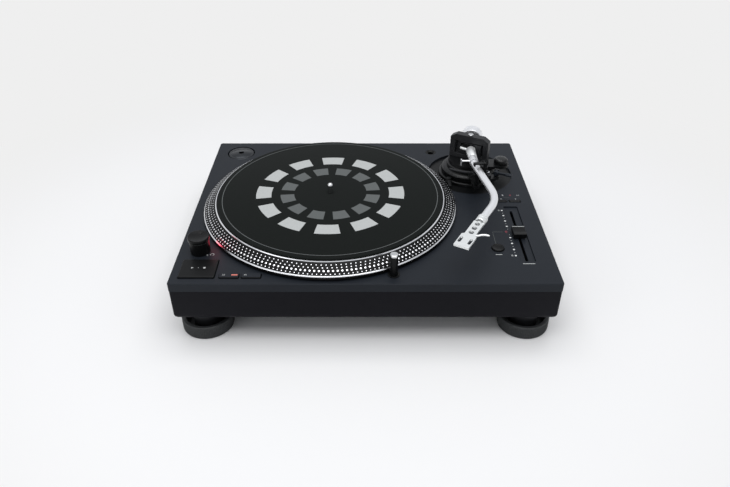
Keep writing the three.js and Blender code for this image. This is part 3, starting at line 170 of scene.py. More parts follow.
# %% Mix the paint and the mouldings
deck_paint = finish("powder_coated_aluminium", "1c2026", 0.0, 0.46, drift=(60, "191d23", "1f2329"),
                    wear=(25, 0.42, 0.5), relief=(0.5, 0.02, 0.5), sockets={SHINE: 0.15})
cabinet_plastic = finish("moulded_abs_cabinet", "0d0d12", 0.0, 0.55, drift=(50, "0b0b10", "0f0f15"),
                         wear=(12, 0.48, 0.6), relief=(0.6, 0.02, 0.4), sockets={SHINE: 0.1})
control_plastic = finish("satin_black_abs", "0b0c0d", 0.0, 0.36, drift=(15, "090a0b", "0e0f10"),
                         wear=(6, 0.3, 0.42), relief=(0.4, 0.012, 0.4), sockets={SHINE: 0.15})
foot_nylon = finish("glass_filled_nylon", "2c2e2f", 0.0, 0.5, drift=(8, "292b2c", "303233"),
                    relief=(0.5, 0.015, 0.4), sockets={SHINE: 0.35})
rubber = finish("moulded_nitrile_rubber", "1a1b1e", 0.0, 0.62, drift=(10, "16171a", "1e1f22"),
                relief=(0.7, 0.03, 0.5), sockets={SHINE: 0.35})
print("paint and mouldings:", deck_paint.name, cabinet_plastic.name, control_plastic.name, rubber.name)

# %% [markdown]
# ## The metals
# A metal's colour is the colour of its reflection, so bare bright metals are pale and fully metallic, and
# their roughness tells a diamond cut from ground steel. The tube and the headshell are a little less than
# metallic, because satin plating and a blasted surface also scatter light. Tool marks run round a turned
# piece, so they are rings.

# %% Mix the metals
platter_black = finish("black_anodised_aluminium", "060607", 0.0, 0.42, wear=(8, 0.36, 0.48),
                       relief=(0.9, 0.01, 0.5), axis=(-46.6, -5.2, 0), sockets={SHINE: 0.15})
cut_metal = finish("diamond_cut_aluminium", "eeeff1", 1.0, 0.24, wear=(3, 0.2, 0.3))
tube_chrome = finish("satin_chrome_tube", "eff0f2", 0.85, 0.32, wear=(5, 0.3, 0.35))
blasted = finish("bead_blasted_aluminium", "e6e8e8", 0.7, 0.42, drift=(3, "e0e2e2", "ebeded"),
                 wear=(2, 0.3, 0.42), relief=(0.35, 0.006, 0.4))
steel = finish("polished_stainless_steel", "d4d5d6", 1.0, 0.1, wear=(4, 0.07, 0.14))
bearing_steel = finish("ground_bearing_steel", "8b8e92", 1.0, 0.32, wear=(2, 0.26, 0.4),
                       relief=(0.4, 0.01, 0.5))
casting = finish("black_enamelled_zinc_casting", "0c0d0e", 0.0, 0.32, drift=(12, "0a0b0c", "101112"),
                 wear=(5, 0.26, 0.4), relief=(0.6, 0.015, 0.4), sockets={SHINE: 0.3})
housing_enamel = finish("satin_enamelled_housing", "1d1e20", 0.0, 0.46, drift=(12, "1b1c1e", "1f2022"),
                        sockets={SHINE: 0.4})
adaptor_metal = finish("turned_dark_aluminium", "3a3c3f", 1.0, 0.3, wear=(4, 0.24, 0.36),
                       relief=(0.8, 0.02, 0.7), axis=(-189.4, 143.2, 0))
gold = finish("gold_plated_brass", "d9b15c", 1.0, 0.22, wear=(2, 0.18, 0.28))
print("metals ready")

# %% [markdown]
# ## Felt, inks, lens and the hidden parts
# The slipmat is needled felt: short fibres in every direction, so its noise has more detail and more depth
# than the others, and a little sheen catches the light at a low angle. Inks are printed on, so they are
# matte and sit just proud. The red lens and the lit label glow a little of their own.

# %% Mix the soft, printed and electric finishes
felt = finish("needled_polyester_felt", "141716", 0.0, 0.92, drift=(1.4, "111413", "171a19"),
              relief=(0.9, 0.08, 0.7), detail=(5, 6),
              sockets={SHINE: 0.1, "Sheen Weight": 0.03, "Sheen Roughness": 0.5})
INKS = {"white": ("c9cbcc", "dfe1e1"), "pale_grey": ("a9acac", "b9bcbb"), "dim_grey": ("4d5151", "575b5b"),
        "red": ("8f3a45", "a8434f")}
white_ink, pale_ink, dim_ink, red_ink = (
    finish(f"{tone}_screen_ink", light, 0.0, 0.7, drift=(2, dark, light), relief=(0.8, 0.02, 0.4))
    for tone, (dark, light) in INKS.items())
lens_red = finish("red_lit_acrylic", "c82c46", 0.0, 0.25, drift=(3, "b8243c", "d4344e"),
                  sockets={"Emission Color": linear("ff7a94"), "Emission Strength": 1.0})
label_salmon = finish("salmon_lit_acrylic", "b8655a", 0.0, 0.4, drift=(3, "ae5c52", "c26e62"),
                      sockets={"Emission Color": linear("d9786a"), "Emission Strength": 0.35})
board_green = finish("glass_fibre_laminate", "1d4a34", 0.0, 0.45, drift=(4, "163d2a", "24573d"),
                     wear=(2, 0.35, 0.55))
ferrite = finish("sintered_ferrite", "29292b", 0.2, 0.7, drift=(2, "222224", "303032"),
                 relief=(0.5, 0.03, 0.6))
print("felt, inks and hidden finishes ready")

# %% [markdown]
# ## Shapes
# Nearly every round piece here is turned on a lathe in the factory, so the main tool is a profile spun
# round an axis. A profile is a list of radius and height, and a third value lets ribs be cut into that
# point. Other pieces are flat plates with an outline, or wires swept along a path.

# %% Spin, sweep and cut out
def turned(profile, sides, ribs=None):
    """Spins [radius, height] points round Z. ribs gives each side's radius change at points marked 1."""
    points, rows = [], []
    for radius, height, *marked in profile:
        row = []
        for side in range(sides if radius > 0 else 1):
            angle = math.tau * side / sides
            reach = radius + (ribs[side % len(ribs)] if ribs and marked and marked[0] else 0)
            row.append(len(points))
            points.append((reach * math.cos(angle), reach * math.sin(angle), height))
        rows.append(row * sides if radius == 0 else row)
    faces = []
    for low, high in zip(rows, rows[1:]):
        for side in range(sides):
            after = (side + 1) % sides
            corners = [low[side], low[after], high[after], high[side]]
            faces.append(list(dict.fromkeys(corners)))
    return points, [face for face in faces if len(face) > 2]


def placed(shape, matrix):
    """The shape moved and turned by a matrix, or by a plain shift."""
    if not isinstance(matrix, Matrix):
        matrix = Matrix.Translation(matrix)
    return [tuple(matrix @ Vector(point)) for point in shape[0]], shape[1]


def rotation(degrees, axis):
    """A turn round the X, Y or Z axis."""
    return Matrix.Rotation(math.radians(degrees), 4, axis)


def copies(shape, place, lay, count, full):
    """The shape, laid by one matrix and repeated round a place: the first count of a full turn's steps."""
    turns = [place @ Matrix.Rotation(math.tau * turn / full, 4, "Z") @ lay for turn in range(count)]
    return [placed(shape, turn) for turn in turns]


def inset(radius, top, steps):
    """Profile points given as distances in from a radius and down from a height."""
    return [(radius - back, top - down, *mark) for back, down, *mark in steps]


def dished(radius, top, depth, rings):
    """A shallow bowl's profile, from its rim to its middle."""
    shares = [1 - ring / rings for ring in range(rings + 1)]
    return [(radius * share, top - depth * (1 - share ** 2)) for share in shares]


def swept(path, radii, sides):
    """A round wire along points, with its radius at each point."""
    path = [Vector(point) for point in path]
    runs = [(b - a).normalized() for a, b in zip(path, path[1:])]
    headings = [runs[0]] + [(a + b).normalized() for a, b in zip(runs, runs[1:])] + [runs[-1]]
    across = headings[0].orthogonal().normalized()
    points, faces = [], []
    for place, heading, radius in zip(path, headings, radii):
        across = (across - across.project(heading)).normalized()
        other = heading.cross(across)
        for side in range(sides):
            angle = math.tau * side / sides
            points.append(tuple(place + radius * (across * math.cos(angle) + other * math.sin(angle))))
    for ring in range(len(path) - 1):
        for side in range(sides):
            low, after = ring * sides + side, ring * sides + (side + 1) % sides
            faces.append([low, after, after + sides, low + sides])
    last = (len(path) - 1) * sides
    return points, faces + [list(range(sides - 1, -1, -1)), list(range(last, last + sides))]


def prism(outline, low, high):
    """A plate with this outline between two heights."""
    count = len(outline)
    points = [(x, y, low) for x, y in outline] + [(x, y, high) for x, y in outline]
    sides = [[i, (i + 1) % count, (i + 1) % count + count, i + count] for i in range(count)]
    return points, sides + [list(range(count - 1, -1, -1)), list(range(count, 2 * count))]


def arc(radius, start, end, steps, middle=(0, 0)):
    """Points on part of a circle, in degrees."""
    angles = [math.radians(start + (end - start) * step / steps) for step in range(steps + 1)]
    return [(middle[0] + radius * math.cos(a), middle[1] + radius * math.sin(a)) for a in angles]


def box_outline(x, y, width, depth):
    """A rectangle by its middle."""
    return [(x - width / 2, y - depth / 2), (x + width / 2, y - depth / 2),
            (x + width / 2, y + depth / 2), (x - width / 2, y + depth / 2)]


def arc_plate(inner, outer, start, end, steps, low, high):
    """Part of a flat ring."""
    return prism(arc(outer, start, end, steps) + arc(inner, end, start, steps), low, high)


print("shape tools ready")

# %% [markdown]
# A piece joins its shapes into one mesh, welds what touches, turns the faces outwards and shades round
# stretches smooth. It then rides on the body that carries it, and may stand for a plainer piece of the
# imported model.

# %% Build a piece
WELD = 0.001
SHARP = 32


def piece(name, parts, body, stands_for=(), smooth=35, bevel=0):
    """A mesh object from (shape, material) pairs in millimetres."""
    points, faces, skins, materials = [], [], [], []
    for (shape_points, shape_faces), material in parts:
        start = len(points)
        points += [Vector(point) * MM for point in shape_points]
        faces += [[start + corner for corner in face] for face in shape_faces]
        if material not in materials:
            materials.append(material)
        skins += [materials.index(material)] * len(shape_faces)
    mesh = bpy.data.meshes.new(name)
    mesh.from_pydata(points, [], faces)
    for material in materials:
        mesh.materials.append(material)
    mesh.polygons.foreach_set("material_index", skins)
    work = bmesh.new()
    work.from_mesh(mesh)
    bmesh.ops.remove_doubles(work, verts=work.verts, dist=WELD * MM)
    bmesh.ops.recalc_face_normals(work, faces=work.faces)
    work.to_mesh(mesh)
    work.free()
    mesh.shade_smooth()
    mesh.set_sharp_from_angle(angle=math.radians(smooth))
    made = in_scene(name, mesh)
    if bevel:
        round_edges(made, bevel)
    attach(made, body)
    if stands_for:
        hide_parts(*stands_for)
    return made


def round_edges(made, width):
    """Rounds the sharp edges, and keeps the flats flat in the shading."""
    bevel = made.modifiers.new("rounded_edges", "BEVEL")
    bevel.width = width * MM
    bevel.segments = 2
    bevel.limit_method = "ANGLE"
    bevel.angle_limit = math.radians(SHARP)
    bevel.harden_normals = True


print("pieces can be built")

# %% [markdown]
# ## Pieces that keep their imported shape
# Flat and square pieces are already right. Their faces are loose triangles, so a Weld joins them, a planar
# Decimate merges what is flat, and a small Bevel breaks the edges, because a real edge always catches some
# light.

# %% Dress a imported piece
LOOSE, FLAT = 0.002, 0.2


def dress(node, material, edge):
    """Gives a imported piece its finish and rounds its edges."""
    made = frame["nodes"][node]
    for slot in made.material_slots:
        slot.link = "OBJECT"
        slot.material = material
    normals = made.data.attributes.get("custom_normal")
    if normals:
        made.data.attributes.remove(normals)
    made.data.shade_smooth()
    weld = made.modifiers.new("joined_faces", "WELD")
    weld.merge_threshold = LOOSE * MM
    flat = made.modifiers.new("merged_flats", "DECIMATE")
    flat.decimate_type = "DISSOLVE"
    flat.angle_limit = math.radians(FLAT)
    round_edges(made, edge)


EDGES = [
    (deck_paint, 0.3, ["top_chassis"]), (deck_paint, 0.1, ["pitch_plate"]), (deck_paint, 0.5, ["cue_lever"]),
    (cabinet_plastic, 0.4, ["base_cabinet"]), (control_plastic, 0.4, ["bottom_cover", "pitch_knob"]),
    (control_plastic, 0.35, ["start_stop_button"]),
    (control_plastic, 0.3, ["speed_33_button", "speed_45_button", "range_button", "reverse_button",
                            "strobe_housing", "signal_terminals", "mains_inlet", "arm_rest", "arm_clip"]),
    (control_plastic, 0.2, ["light_sleeve", "weight_socket", "slider_track"]),
    (board_green, 0.1, ["switch_board", "main_board", "power_supply", "stator_board"]),
    (ferrite, 0.4, ["rotor_magnet"]), (bearing_steel, 0.3, ["spindle_bearing"]),
    (casting, 0.4, ["height_lock_lever", "arm_platform", "pivot_block"]),
    (housing_enamel, 0.6, ["gimbal_housing"]), (housing_enamel, 0.4, ["gimbal_ring"]),
    (lens_red, 0.3, ["strobe_window"]),
]
for material, edge, nodes in EDGES:
    for node in nodes:
        dress(node, material, edge)
print("dressed", sum(len(nodes) for *_, nodes in EDGES), "packed pieces")

# %% [markdown]
# ## Where things stand
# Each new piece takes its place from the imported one, so nothing is fitted by eye. One helper reads a node's
# middle and its lowest and highest point in millimetres.

# %% Read places from the frame
def span(node):
    """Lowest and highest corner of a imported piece, in millimetres."""
    low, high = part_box(node)
    return low / MM, high / MM


def middle(node, height=0.0):
    """A node's middle in plan, at a given height."""
    low, high = span(node)
    return ((low.x + high.x) / 2, (low.y + high.y) / 2, height)


def round_node(node):
    """A round piece's place in plan, its lowest and highest point, and its radius."""
    low, high = span(node)
    return middle(node), low.z, high.z, (high.x - low.x) / 2


deck_top = span("top_chassis")[1].z
spindle = middle("platter", deck_top)
print("deck top at", round(deck_top, 2), "mm, spindle at", [round(at, 1) for at in spindle[:2]])

# %% [markdown]
# ## The platter
# The real platter is an aluminium casting, anodised black and then turned again at two edges, which leaves
# two bright rings. Between them the rim slopes, with four rows of raised dots for the strobe light. Each
# row has its own count, so one row seems to stand still at its own speed. Dots are real bumps here: flat-
# topped cones, laid square to the slope.

# %% Turn the platter
*_, RIM_RADIUS = round_node("platter")
RIM_LOW, RIM_EDGE, RIM_CUT = 2.0, 5.6, 1.2
CROWN_RADIUS, CROWN_TOP, CROWN_CUT = 150.6, 16.7, 0.5
WEB_RADIUS, WEB_LOW, MAT_SEAT = 148.0, 8.0, 15.9
FLANGE_RADIUS, FLANGE_LOW = 61.0, 1.0
HUB_RADIUS, HUB_LOW, HUB_TOP = 30.0, -3.7, 10.3
HUB_BORE, SPINDLE_BORE = 7.3, 3.9
WIDE_SIDES = 360

rim_foot, rim_top = (RIM_RADIUS - 0.1, RIM_EDGE), (RIM_RADIUS - RIM_CUT, RIM_EDGE + RIM_CUT)
crown_foot, crown_inner = (CROWN_RADIUS + CROWN_CUT, CROWN_TOP - 0.8), (CROWN_RADIUS - 0.9, CROWN_TOP)
underside = [
    rim_foot, (RIM_RADIUS, RIM_EDGE - 0.2), (RIM_RADIUS, RIM_LOW), (WEB_RADIUS, RIM_LOW),
    (WEB_RADIUS, WEB_LOW), (FLANGE_RADIUS, WEB_LOW), (FLANGE_RADIUS, FLANGE_LOW), (HUB_RADIUS, FLANGE_LOW),
    (HUB_RADIUS, HUB_LOW), (HUB_BORE, HUB_LOW), (HUB_BORE, HUB_TOP), (SPINDLE_BORE, HUB_TOP),
    (SPINDLE_BORE, MAT_SEAT), (CROWN_RADIUS - 1.0, MAT_SEAT), crown_inner,
]
crown = [crown_inner, (CROWN_RADIUS, CROWN_TOP), crown_foot]
platter_parts = [(placed(turned(profile, WIDE_SIDES), spindle), metal) for profile, metal in [
    ([rim_top, rim_foot], cut_metal), (crown, cut_metal), ([crown_foot, rim_top], platter_black),
    (underside, platter_black)]]
piece("platter_turned", platter_parts, "platter", ["platter"], smooth=20)
print("platter", round(2 * RIM_RADIUS, 1), "mm across")

# %% Raise the strobe dots
DOT_ROWS = [(163.8, 197, 0.75), (160.4, 187, 1.25), (157.1, 178, 0.8), (154.1, 169, 0.75)]
DOT_HEIGHT, DOT_TOP, DOT_SIDES = 0.2, 0.72, 10
slope_angle = math.atan2(crown_foot[1] - rim_top[1], rim_top[0] - crown_foot[0])
dots = []
for row_radius, count, size in DOT_ROWS:
    row_height = rim_top[1] + (rim_top[0] - row_radius) * math.tan(slope_angle)
    cone = [(size, -0.2), (size, 0.05), (size * DOT_TOP, DOT_HEIGHT), (0, DOT_HEIGHT + 0.05)]
    lay = Matrix.Translation((row_radius, 0, row_height)) @ Matrix.Rotation(slope_angle, 4, "Y")
    dots += copies(turned(cone, DOT_SIDES), Matrix.Translation(spindle), lay, count, count)
piece("strobe_dots", [(dot, cut_metal) for dot in dots], "platter", smooth=50)
print(len(dots), "dots in", len(DOT_ROWS), "rows")

# %% [markdown]
# ## The slipmat
# A felt disc lies on the platter, with a thin printed circle near its edge and a design of its own: two
# rings of plain bars, pale outside and dim inside, like a clock face with no hands. The felt's edge is
# rounded a little.

# %% Cut and print the slipmat
_, mat_bottom, mat_high, MAT_RADIUS = round_node("slipmat")
MAT_EDGE, INK = 0.9, 0.06
mat_top = mat_high - INK
mat_profile = [
    (SPINDLE_BORE, mat_bottom), (MAT_RADIUS, mat_bottom), (MAT_RADIUS, mat_top - MAT_EDGE),
    (MAT_RADIUS - 0.3 * MAT_EDGE, mat_top - 0.3 * MAT_EDGE), (MAT_RADIUS - MAT_EDGE, mat_top),
    (SPINDLE_BORE, mat_top), (SPINDLE_BORE, mat_bottom),
]
spindle_foot = (spindle[0], spindle[1], 0)
slipmat = piece("felt_slipmat", [(placed(turned(mat_profile, WIDE_SIDES), spindle_foot), felt)],
                "platter", ["slipmat"])
CIRCLE_IN, CIRCLE_OUT = 141.35, 142.25
circle = turned([(CIRCLE_IN, mat_top - INK), (CIRCLE_IN, mat_high), (CIRCLE_OUT, mat_high),
                 (CIRCLE_OUT, mat_top - INK), (CIRCLE_IN, mat_top - INK)], WIDE_SIDES)
BARS = 12
bars = {}
for ink, inner, outer, wide, offset in [(pale_ink, 78, 98, 19, 0), (dim_ink, 48, 66, 19, 15)]:
    bars[ink] = [arc_plate(inner, outer, turn * 360 / BARS + offset - wide / 2,
                           turn * 360 / BARS + offset + wide / 2, 10, mat_top - INK, mat_high)
                 for turn in range(BARS)]
prints = [(placed(circle, spindle_foot), dim_ink)]
prints += [(placed(bar, spindle_foot), ink) for ink, shapes in bars.items() for bar in shapes]
piece("slipmat_print", prints, "platter")
print("slipmat", round(2 * MAT_RADIUS, 1), "mm across with", 2 * BARS, "bars")

# %% [markdown]
# ## The spindle
# The centre pin is ground and polished steel with a domed end, which guides a record's hole on to it.

# %% Turn the spindle
SPINDLE_RADIUS, SPINDLE_TOP = 3.6, 33.0
SHAFT_RADIUS, SHAFT_END = 5.0, -38.0
COLLAR_RADIUS, COLLAR_LOW, COLLAR_HIGH = 12.0, -9.0, -4.0
SEAT_RADIUS, SEAT_TOP = 7.0, 10.0
dome = arc(SPINDLE_RADIUS, 0, 75, 5, (0, SPINDLE_TOP - SPINDLE_RADIUS))
shaft = [(0, SHAFT_END), (SHAFT_RADIUS, SHAFT_END), (SHAFT_RADIUS, COLLAR_LOW), (COLLAR_RADIUS, COLLAR_LOW),
         (COLLAR_RADIUS, COLLAR_HIGH), (SEAT_RADIUS, COLLAR_HIGH), (SEAT_RADIUS, SEAT_TOP),
         (SPINDLE_RADIUS, SEAT_TOP), *dome, (0, SPINDLE_TOP)]
piece("polished_spindle", [(placed(turned(shaft, 48), spindle), steel)], "platter",
      ["spindle_shaft"])
print("spindle stands", SPINDLE_TOP, "mm above the deck")

# %% [markdown]
# ## The feet
# Each foot is a knurled ring that screws up and down, with a rubber boot inside it that soaks up vibration.
# The knurl is cut both ways, so it reads as a grid of small blocks. A row of ribs is an alternating radius,
# and a groove between two rows is a dip in the profile.

# %% Knurl the rings and mould the boots
FOOT_RADIUS, FOOT_HEIGHT = 31.4, 17.3
KNURLS, KNURL_DEPTH, KNURL_ROWS = 96, 0.55, 7
ring_rows = []
for row in range(KNURL_ROWS):
    low = 1.6 + row * (FOOT_HEIGHT - 3.6) / KNURL_ROWS
    high = low + (FOOT_HEIGHT - 3.6) / KNURL_ROWS
    ring_rows += [(FOOT_RADIUS - KNURL_DEPTH, low), (FOOT_RADIUS, low + 0.35, 1),
                  (FOOT_RADIUS, high - 0.35, 1)]
ring_profile = [
    (0, 0), (FOOT_RADIUS - 1.4, 0), (FOOT_RADIUS - 0.3, 1.0), *ring_rows,
    (FOOT_RADIUS - KNURL_DEPTH, FOOT_HEIGHT - 2.0),
    *inset(FOOT_RADIUS, FOOT_HEIGHT, [(0.5, 1.6), (0.6, 0.6), (1.4, 0), (4.6, 0), (5.8, 1.0)]),
    (FOOT_RADIUS - 5.9, 5.0), (0, 5.0),
]
RING = turned(ring_profile, 4 * KNURLS, ribs=[0, 0, -KNURL_DEPTH, -KNURL_DEPTH])
boot_low, boot_high = span("foot_boot_front_left")
STUD_RADIUS = 4.0
BOOT_TOP = boot_high.z - 17.0
boot_profile = [
    (0, boot_low.z), (17.5, boot_low.z), (17.5, boot_low.z + 11), (18.4, boot_low.z + 13.2),
    (20.6, BOOT_TOP - 9.2), (23.2, BOOT_TOP - 5.6), (24.7, BOOT_TOP - 3), (25.2, BOOT_TOP - 1.2),
    (25.2, BOOT_TOP), (STUD_RADIUS, BOOT_TOP),
]
stud_profile = [(STUD_RADIUS, BOOT_TOP), (STUD_RADIUS, boot_high.z - 0.8), (STUD_RADIUS - 0.8, boot_high.z),
                (0, boot_high.z)]
for place in ("front_left", "front_right", "back_left", "back_right"):
    ring_node, boot_node = f"foot_ring_{place}", f"foot_boot_{place}"
    at = middle(ring_node)
    for made, node, shapes, slot in [
        (f"knurled_ring_{place}", ring_node, [(RING, foot_nylon)], "black_plastic"),
        (f"rubber_boot_{place}", boot_node, [(turned(boot_profile, 96), rubber),
                                             (turned(stud_profile, 96), bearing_steel)], "foot_rubber"),
    ]:
        carrier = next(b for b, nodes in frame["record"]["behaviour"]["bodies"].items() if node in nodes)
        piece(made, [(placed(shape, at), material) for shape, material in shapes], carrier, [node])
print(KNURLS, "knurls in", KNURL_ROWS, "rows on each ring")

# %% [markdown]
# ## The power dial and the stylus light
# The dial is a moulded cap with a thumb dish and one deeper dimple, so a finger finds it in the dark. The
# dish is a shallow bowl of rings, and the dimple is pressed into those rings by a bell-shaped dip. A thin
# ring of dim ink round the foot of the dial is a painted highlight.

# %% Turn the dial
dial_place, dial_low, dial_high, DIAL_RADIUS = round_node("power_dial")
SPIGOT_RADIUS, SPIGOT_LENGTH = 7.5, 4.0
DISH_RADIUS, DISH_DEPTH = DIAL_RADIUS - 1.1, 1.7
DIMPLE, DIMPLE_WIDTH, DIMPLE_DEPTH = (1.9, 6.6), 1.9, 0.9
DIAL_SIDES = 120
dial_foot = dial_low + SPIGOT_LENGTH
dial_top = turned([
    (DIAL_RADIUS - 0.1, dial_foot + 0.6), (DIAL_RADIUS, dial_foot + 0.9),
    *inset(DIAL_RADIUS, dial_high, [(0, 1.0), (0.3, 0.3), (0.7, 0)]),
    *dished(DISH_RADIUS, dial_high - 0.15, DISH_DEPTH, 18),
], DIAL_SIDES)
pressed = []
for x, y, z in dial_top[0]:
    reach = math.hypot(x - DIMPLE[0], y - DIMPLE[1]) / DIMPLE_WIDTH
    on_top = z > dial_high - 0.2 - DISH_DEPTH and math.hypot(x, y) < DISH_RADIUS - 0.1
    pressed.append((x, y, z - (DIMPLE_DEPTH * math.exp(-reach ** 4) if on_top else 0)))
dial_base = turned([(0, dial_low), (SPIGOT_RADIUS, dial_low), (SPIGOT_RADIUS, dial_foot),
                    (DIAL_RADIUS - 0.6, dial_foot)], DIAL_SIDES)
# A ring of dim ink round the dial's foot: a painted highlight.
dial_foot_highlight = turned([(DIAL_RADIUS - 0.6, dial_foot), (DIAL_RADIUS - 0.1, dial_foot + 0.6)], DIAL_SIDES)
dial_parts = [((pressed, dial_top[1]), control_plastic), (dial_base, control_plastic), (dial_foot_highlight, dim_ink)]
piece("dished_power_dial", [(placed(shape, dial_place), skin) for shape, skin in dial_parts],
      "power_dial", ["power_dial"])
print("dial", round(2 * DIAL_RADIUS, 1), "mm across")

# %% [markdown]
# The stylus light is a slim post that pops up out of the deck. Its head is polished metal with a lamp
# behind it, and a fine groove parts the head from the post.

# %% Turn the stylus light
light_place, light_low, light_high, POST_RADIUS = round_node("stylus_light")
HEAD_LENGTH, GROOVE = 3.0, 0.45
head_foot = light_high - HEAD_LENGTH
post = turned([
    (0, light_low), (POST_RADIUS, light_low), (POST_RADIUS, head_foot - 0.8),
    (POST_RADIUS - GROOVE, head_foot - 0.5), (POST_RADIUS - GROOVE, head_foot),
], 64)
head = turned([
    (POST_RADIUS - GROOVE, head_foot), (POST_RADIUS, head_foot + 0.3),
    *inset(POST_RADIUS, light_high, [(0, 1.0), (0.3, 0.3), (1.0, 0)]), (0, light_high),
], 64)
piece("stylus_light_post", [(placed(post, light_place), control_plastic), (placed(head, light_place), steel)],
      "stylus_light", ["stylus_light"])
print("stylus light stands", round(light_high - deck_top, 1), "mm above the deck")

# %% [markdown]
# ## The record adaptor
# A disc of dark turned aluminium for records with a large centre hole. It is a low cone with fine tool
# marks, so light draws one bright streak across it from the rim to the hole.

# %% Turn the adaptor
adaptor_place, adaptor_low, adaptor_high, ADAPTOR_RADIUS = round_node("record_adaptor")
ADAPTOR_BORE, CONE_DROP = 3.7, 1.6
cone_foot = adaptor_high - CONE_DROP
adaptor = turned([
    (ADAPTOR_BORE, adaptor_low), (ADAPTOR_RADIUS - 0.7, adaptor_low), (ADAPTOR_RADIUS, adaptor_low + 0.7),
    *inset(ADAPTOR_RADIUS, cone_foot, [(0, 0.5), (0.5, -0.05), (3.0, -0.3), (3.3, -0.1), (3.6, -0.34)]),
    (ADAPTOR_BORE + 0.6, adaptor_high - 0.02), (ADAPTOR_BORE, adaptor_high - 0.5),
    (ADAPTOR_BORE, adaptor_low),
], 144)
piece("turned_record_adaptor", [(placed(adaptor, adaptor_place), adaptor_metal)],
      "record_adaptor", ["record_adaptor"])
print("adaptor", round(2 * ADAPTOR_RADIUS, 1), "mm across")

# %% [markdown]
# ## The reset button
# A round button with a dish, like the dial's but smaller.

# %% Turn the reset button
reset_place, reset_low, reset_high, RESET_RADIUS = round_node("reset_button")
RESET_DISH = 1.0
bowl = dished(RESET_RADIUS - 0.9, reset_high - 0.05, RESET_DISH, 12)
reset = turned([
    (0, reset_low), (RESET_RADIUS, reset_low),
    *inset(RESET_RADIUS, reset_high, [(0, 0.7), (0.2, 0.2), (0.6, 0)]), *bowl,
], 96)
piece("dished_reset_button", [(placed(reset, reset_place), control_plastic)],
      "reset_button", ["reset_button"])
print("reset button", round(2 * RESET_RADIUS, 1), "mm across")

# %% [markdown]
# ## Printed marks
# Marks are flat shapes with the thickness of a layer of ink, laid just proud of what they are printed on.
# Numbers come from Blender's own font, turned into a mesh. A filled flat curve also makes plates with
# holes, so both use one helper that turns a curve into points and faces.

# %% Cut shapes from flat curves
DIGIT_HEIGHT = 0.72


def from_curve(curve, low, high):
    """Points and faces of a filled flat curve, made solid between two heights."""
    curve.fill_mode = "BOTH"
    curve.extrude = (high - low) / 2
    holder = in_scene("flat_curve", curve)
    mesh = bpy.data.meshes.new_from_object(holder.evaluated_get(bpy.context.evaluated_depsgraph_get()))
    lift = (low + high) / 2
    points = [(v.co.x, v.co.y, v.co.z + lift) for v in mesh.vertices]
    faces = [list(f.vertices) for f in mesh.polygons]
    bpy.data.objects.remove(holder)
    bpy.data.curves.remove(curve)
    bpy.data.meshes.remove(mesh)
    return points, faces


def written(text, height, x, y, low, high):
    """Numbers of this height, centred on a point."""
    letters = bpy.data.curves.new("numbers", "FONT")
    letters.body = text
    letters.size = height / DIGIT_HEIGHT
    letters.align_x = "CENTER"
    letters.align_y = "CENTER"
    return placed(from_curve(letters, low, high), (x, y, 0))


def punched(outline, holes, low, high):
    """A plate with holes."""
    flat = bpy.data.curves.new("plate", "CURVE")
    flat.dimensions = "2D"
    for loop in [outline, *holes]:
        spline = flat.splines.new("POLY")
        spline.points.add(len(loop) - 1)
        for point, (x, y) in zip(spline.points, loop):
            point.co = (x, y, 0, 1)
        spline.use_cyclic_u = True
    return from_curve(flat, low, high)


print("numbers and punched plates can be cut")

# %% [markdown]
# The pitch scale stands beside the slider: a dot at each step, a smaller one between, numbers at its ends
# and a red nought in the middle. A thin line leads from the nought to the reset button. One plain bar lies
# in front of the reset button and another at the front right.

# %% Print the deck
PRINT = 0.06


def ink_on(node):
    """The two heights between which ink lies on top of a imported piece."""
    top = span(node)[1].z
    return top - PRINT, top + PRINT


def dot_mark(heights, ink, radius, x, y):
    """A printed dot."""
    return prism(arc(radius, 0, 330, 11, (x, y)), *heights), ink


def bar_mark(heights, ink, x, y, width, depth):
    """A printed bar, by its middle."""
    return prism(box_outline(x, y, width, depth), *heights), ink


deck_ink = ink_on("top_chassis")
SCALE_X, SCALE_BACK, SCALE_STEP, SCALE_STEPS = 180.8, -20.6, -12.65, 8
RANGE_Y, RANGE_LABELS = 18.1, [("8", 188.3, white_ink), ("0", 198.6, red_ink), ("16", 208.9, pale_ink)]
scale_middle = SCALE_BACK + SCALE_STEP * SCALE_STEPS / 2
scale_front = SCALE_BACK + SCALE_STEP * SCALE_STEPS
marks = []
for step in range(2 * SCALE_STEPS + 1):
    y = SCALE_BACK + SCALE_STEP * step / 2
    whole = step % 2 == 0
    if abs(y - scale_middle) < 1:
        continue
    marks.append(dot_mark(deck_ink, white_ink if whole else pale_ink, 1.3 if whole else 0.55, SCALE_X, y))
marks += [
    (written("8", 3.2, SCALE_X - 4.2, SCALE_BACK, *deck_ink), pale_ink),
    (written("8", 3.2, SCALE_X - 4.2, scale_front, *deck_ink), pale_ink),
    (written("0", 4.2, SCALE_X - 2.9, scale_middle, *deck_ink), red_ink),
    bar_mark(deck_ink, dim_ink, 167.0, scale_middle, 12.6, 0.5),
    bar_mark(deck_ink, dim_ink, 160.6, scale_middle - 12.9, 0.5, 25.8),
    bar_mark(deck_ink, pale_ink, 193.5, -138.0, 14.4, 1.1),
    bar_mark(deck_ink, pale_ink, reset_place[0] - 0.8, reset_place[1] - 13.2, 8.0, 1.1),
    *[(written(label, 3.0, x, RANGE_Y, *deck_ink), ink) for label, x, ink in RANGE_LABELS],
    bar_mark(deck_ink, dim_ink, 192.3, 12.6, 8.4, 0.35),
    dot_mark(deck_ink, pale_ink, 0.8, 184.7, 8.6), dot_mark(deck_ink, pale_ink, 0.8, 204.3, 8.6),
]
POD_MARK, RING_MARK = (-190.6, -120.6), (-184.8, -119.4)
marks.append(dot_mark(deck_ink, pale_ink, 0.9, *POD_MARK))
marks.append((placed(arc_plate(1.9, 2.4, -60, 240, 24, *deck_ink), (*RING_MARK, 0)), pale_ink))
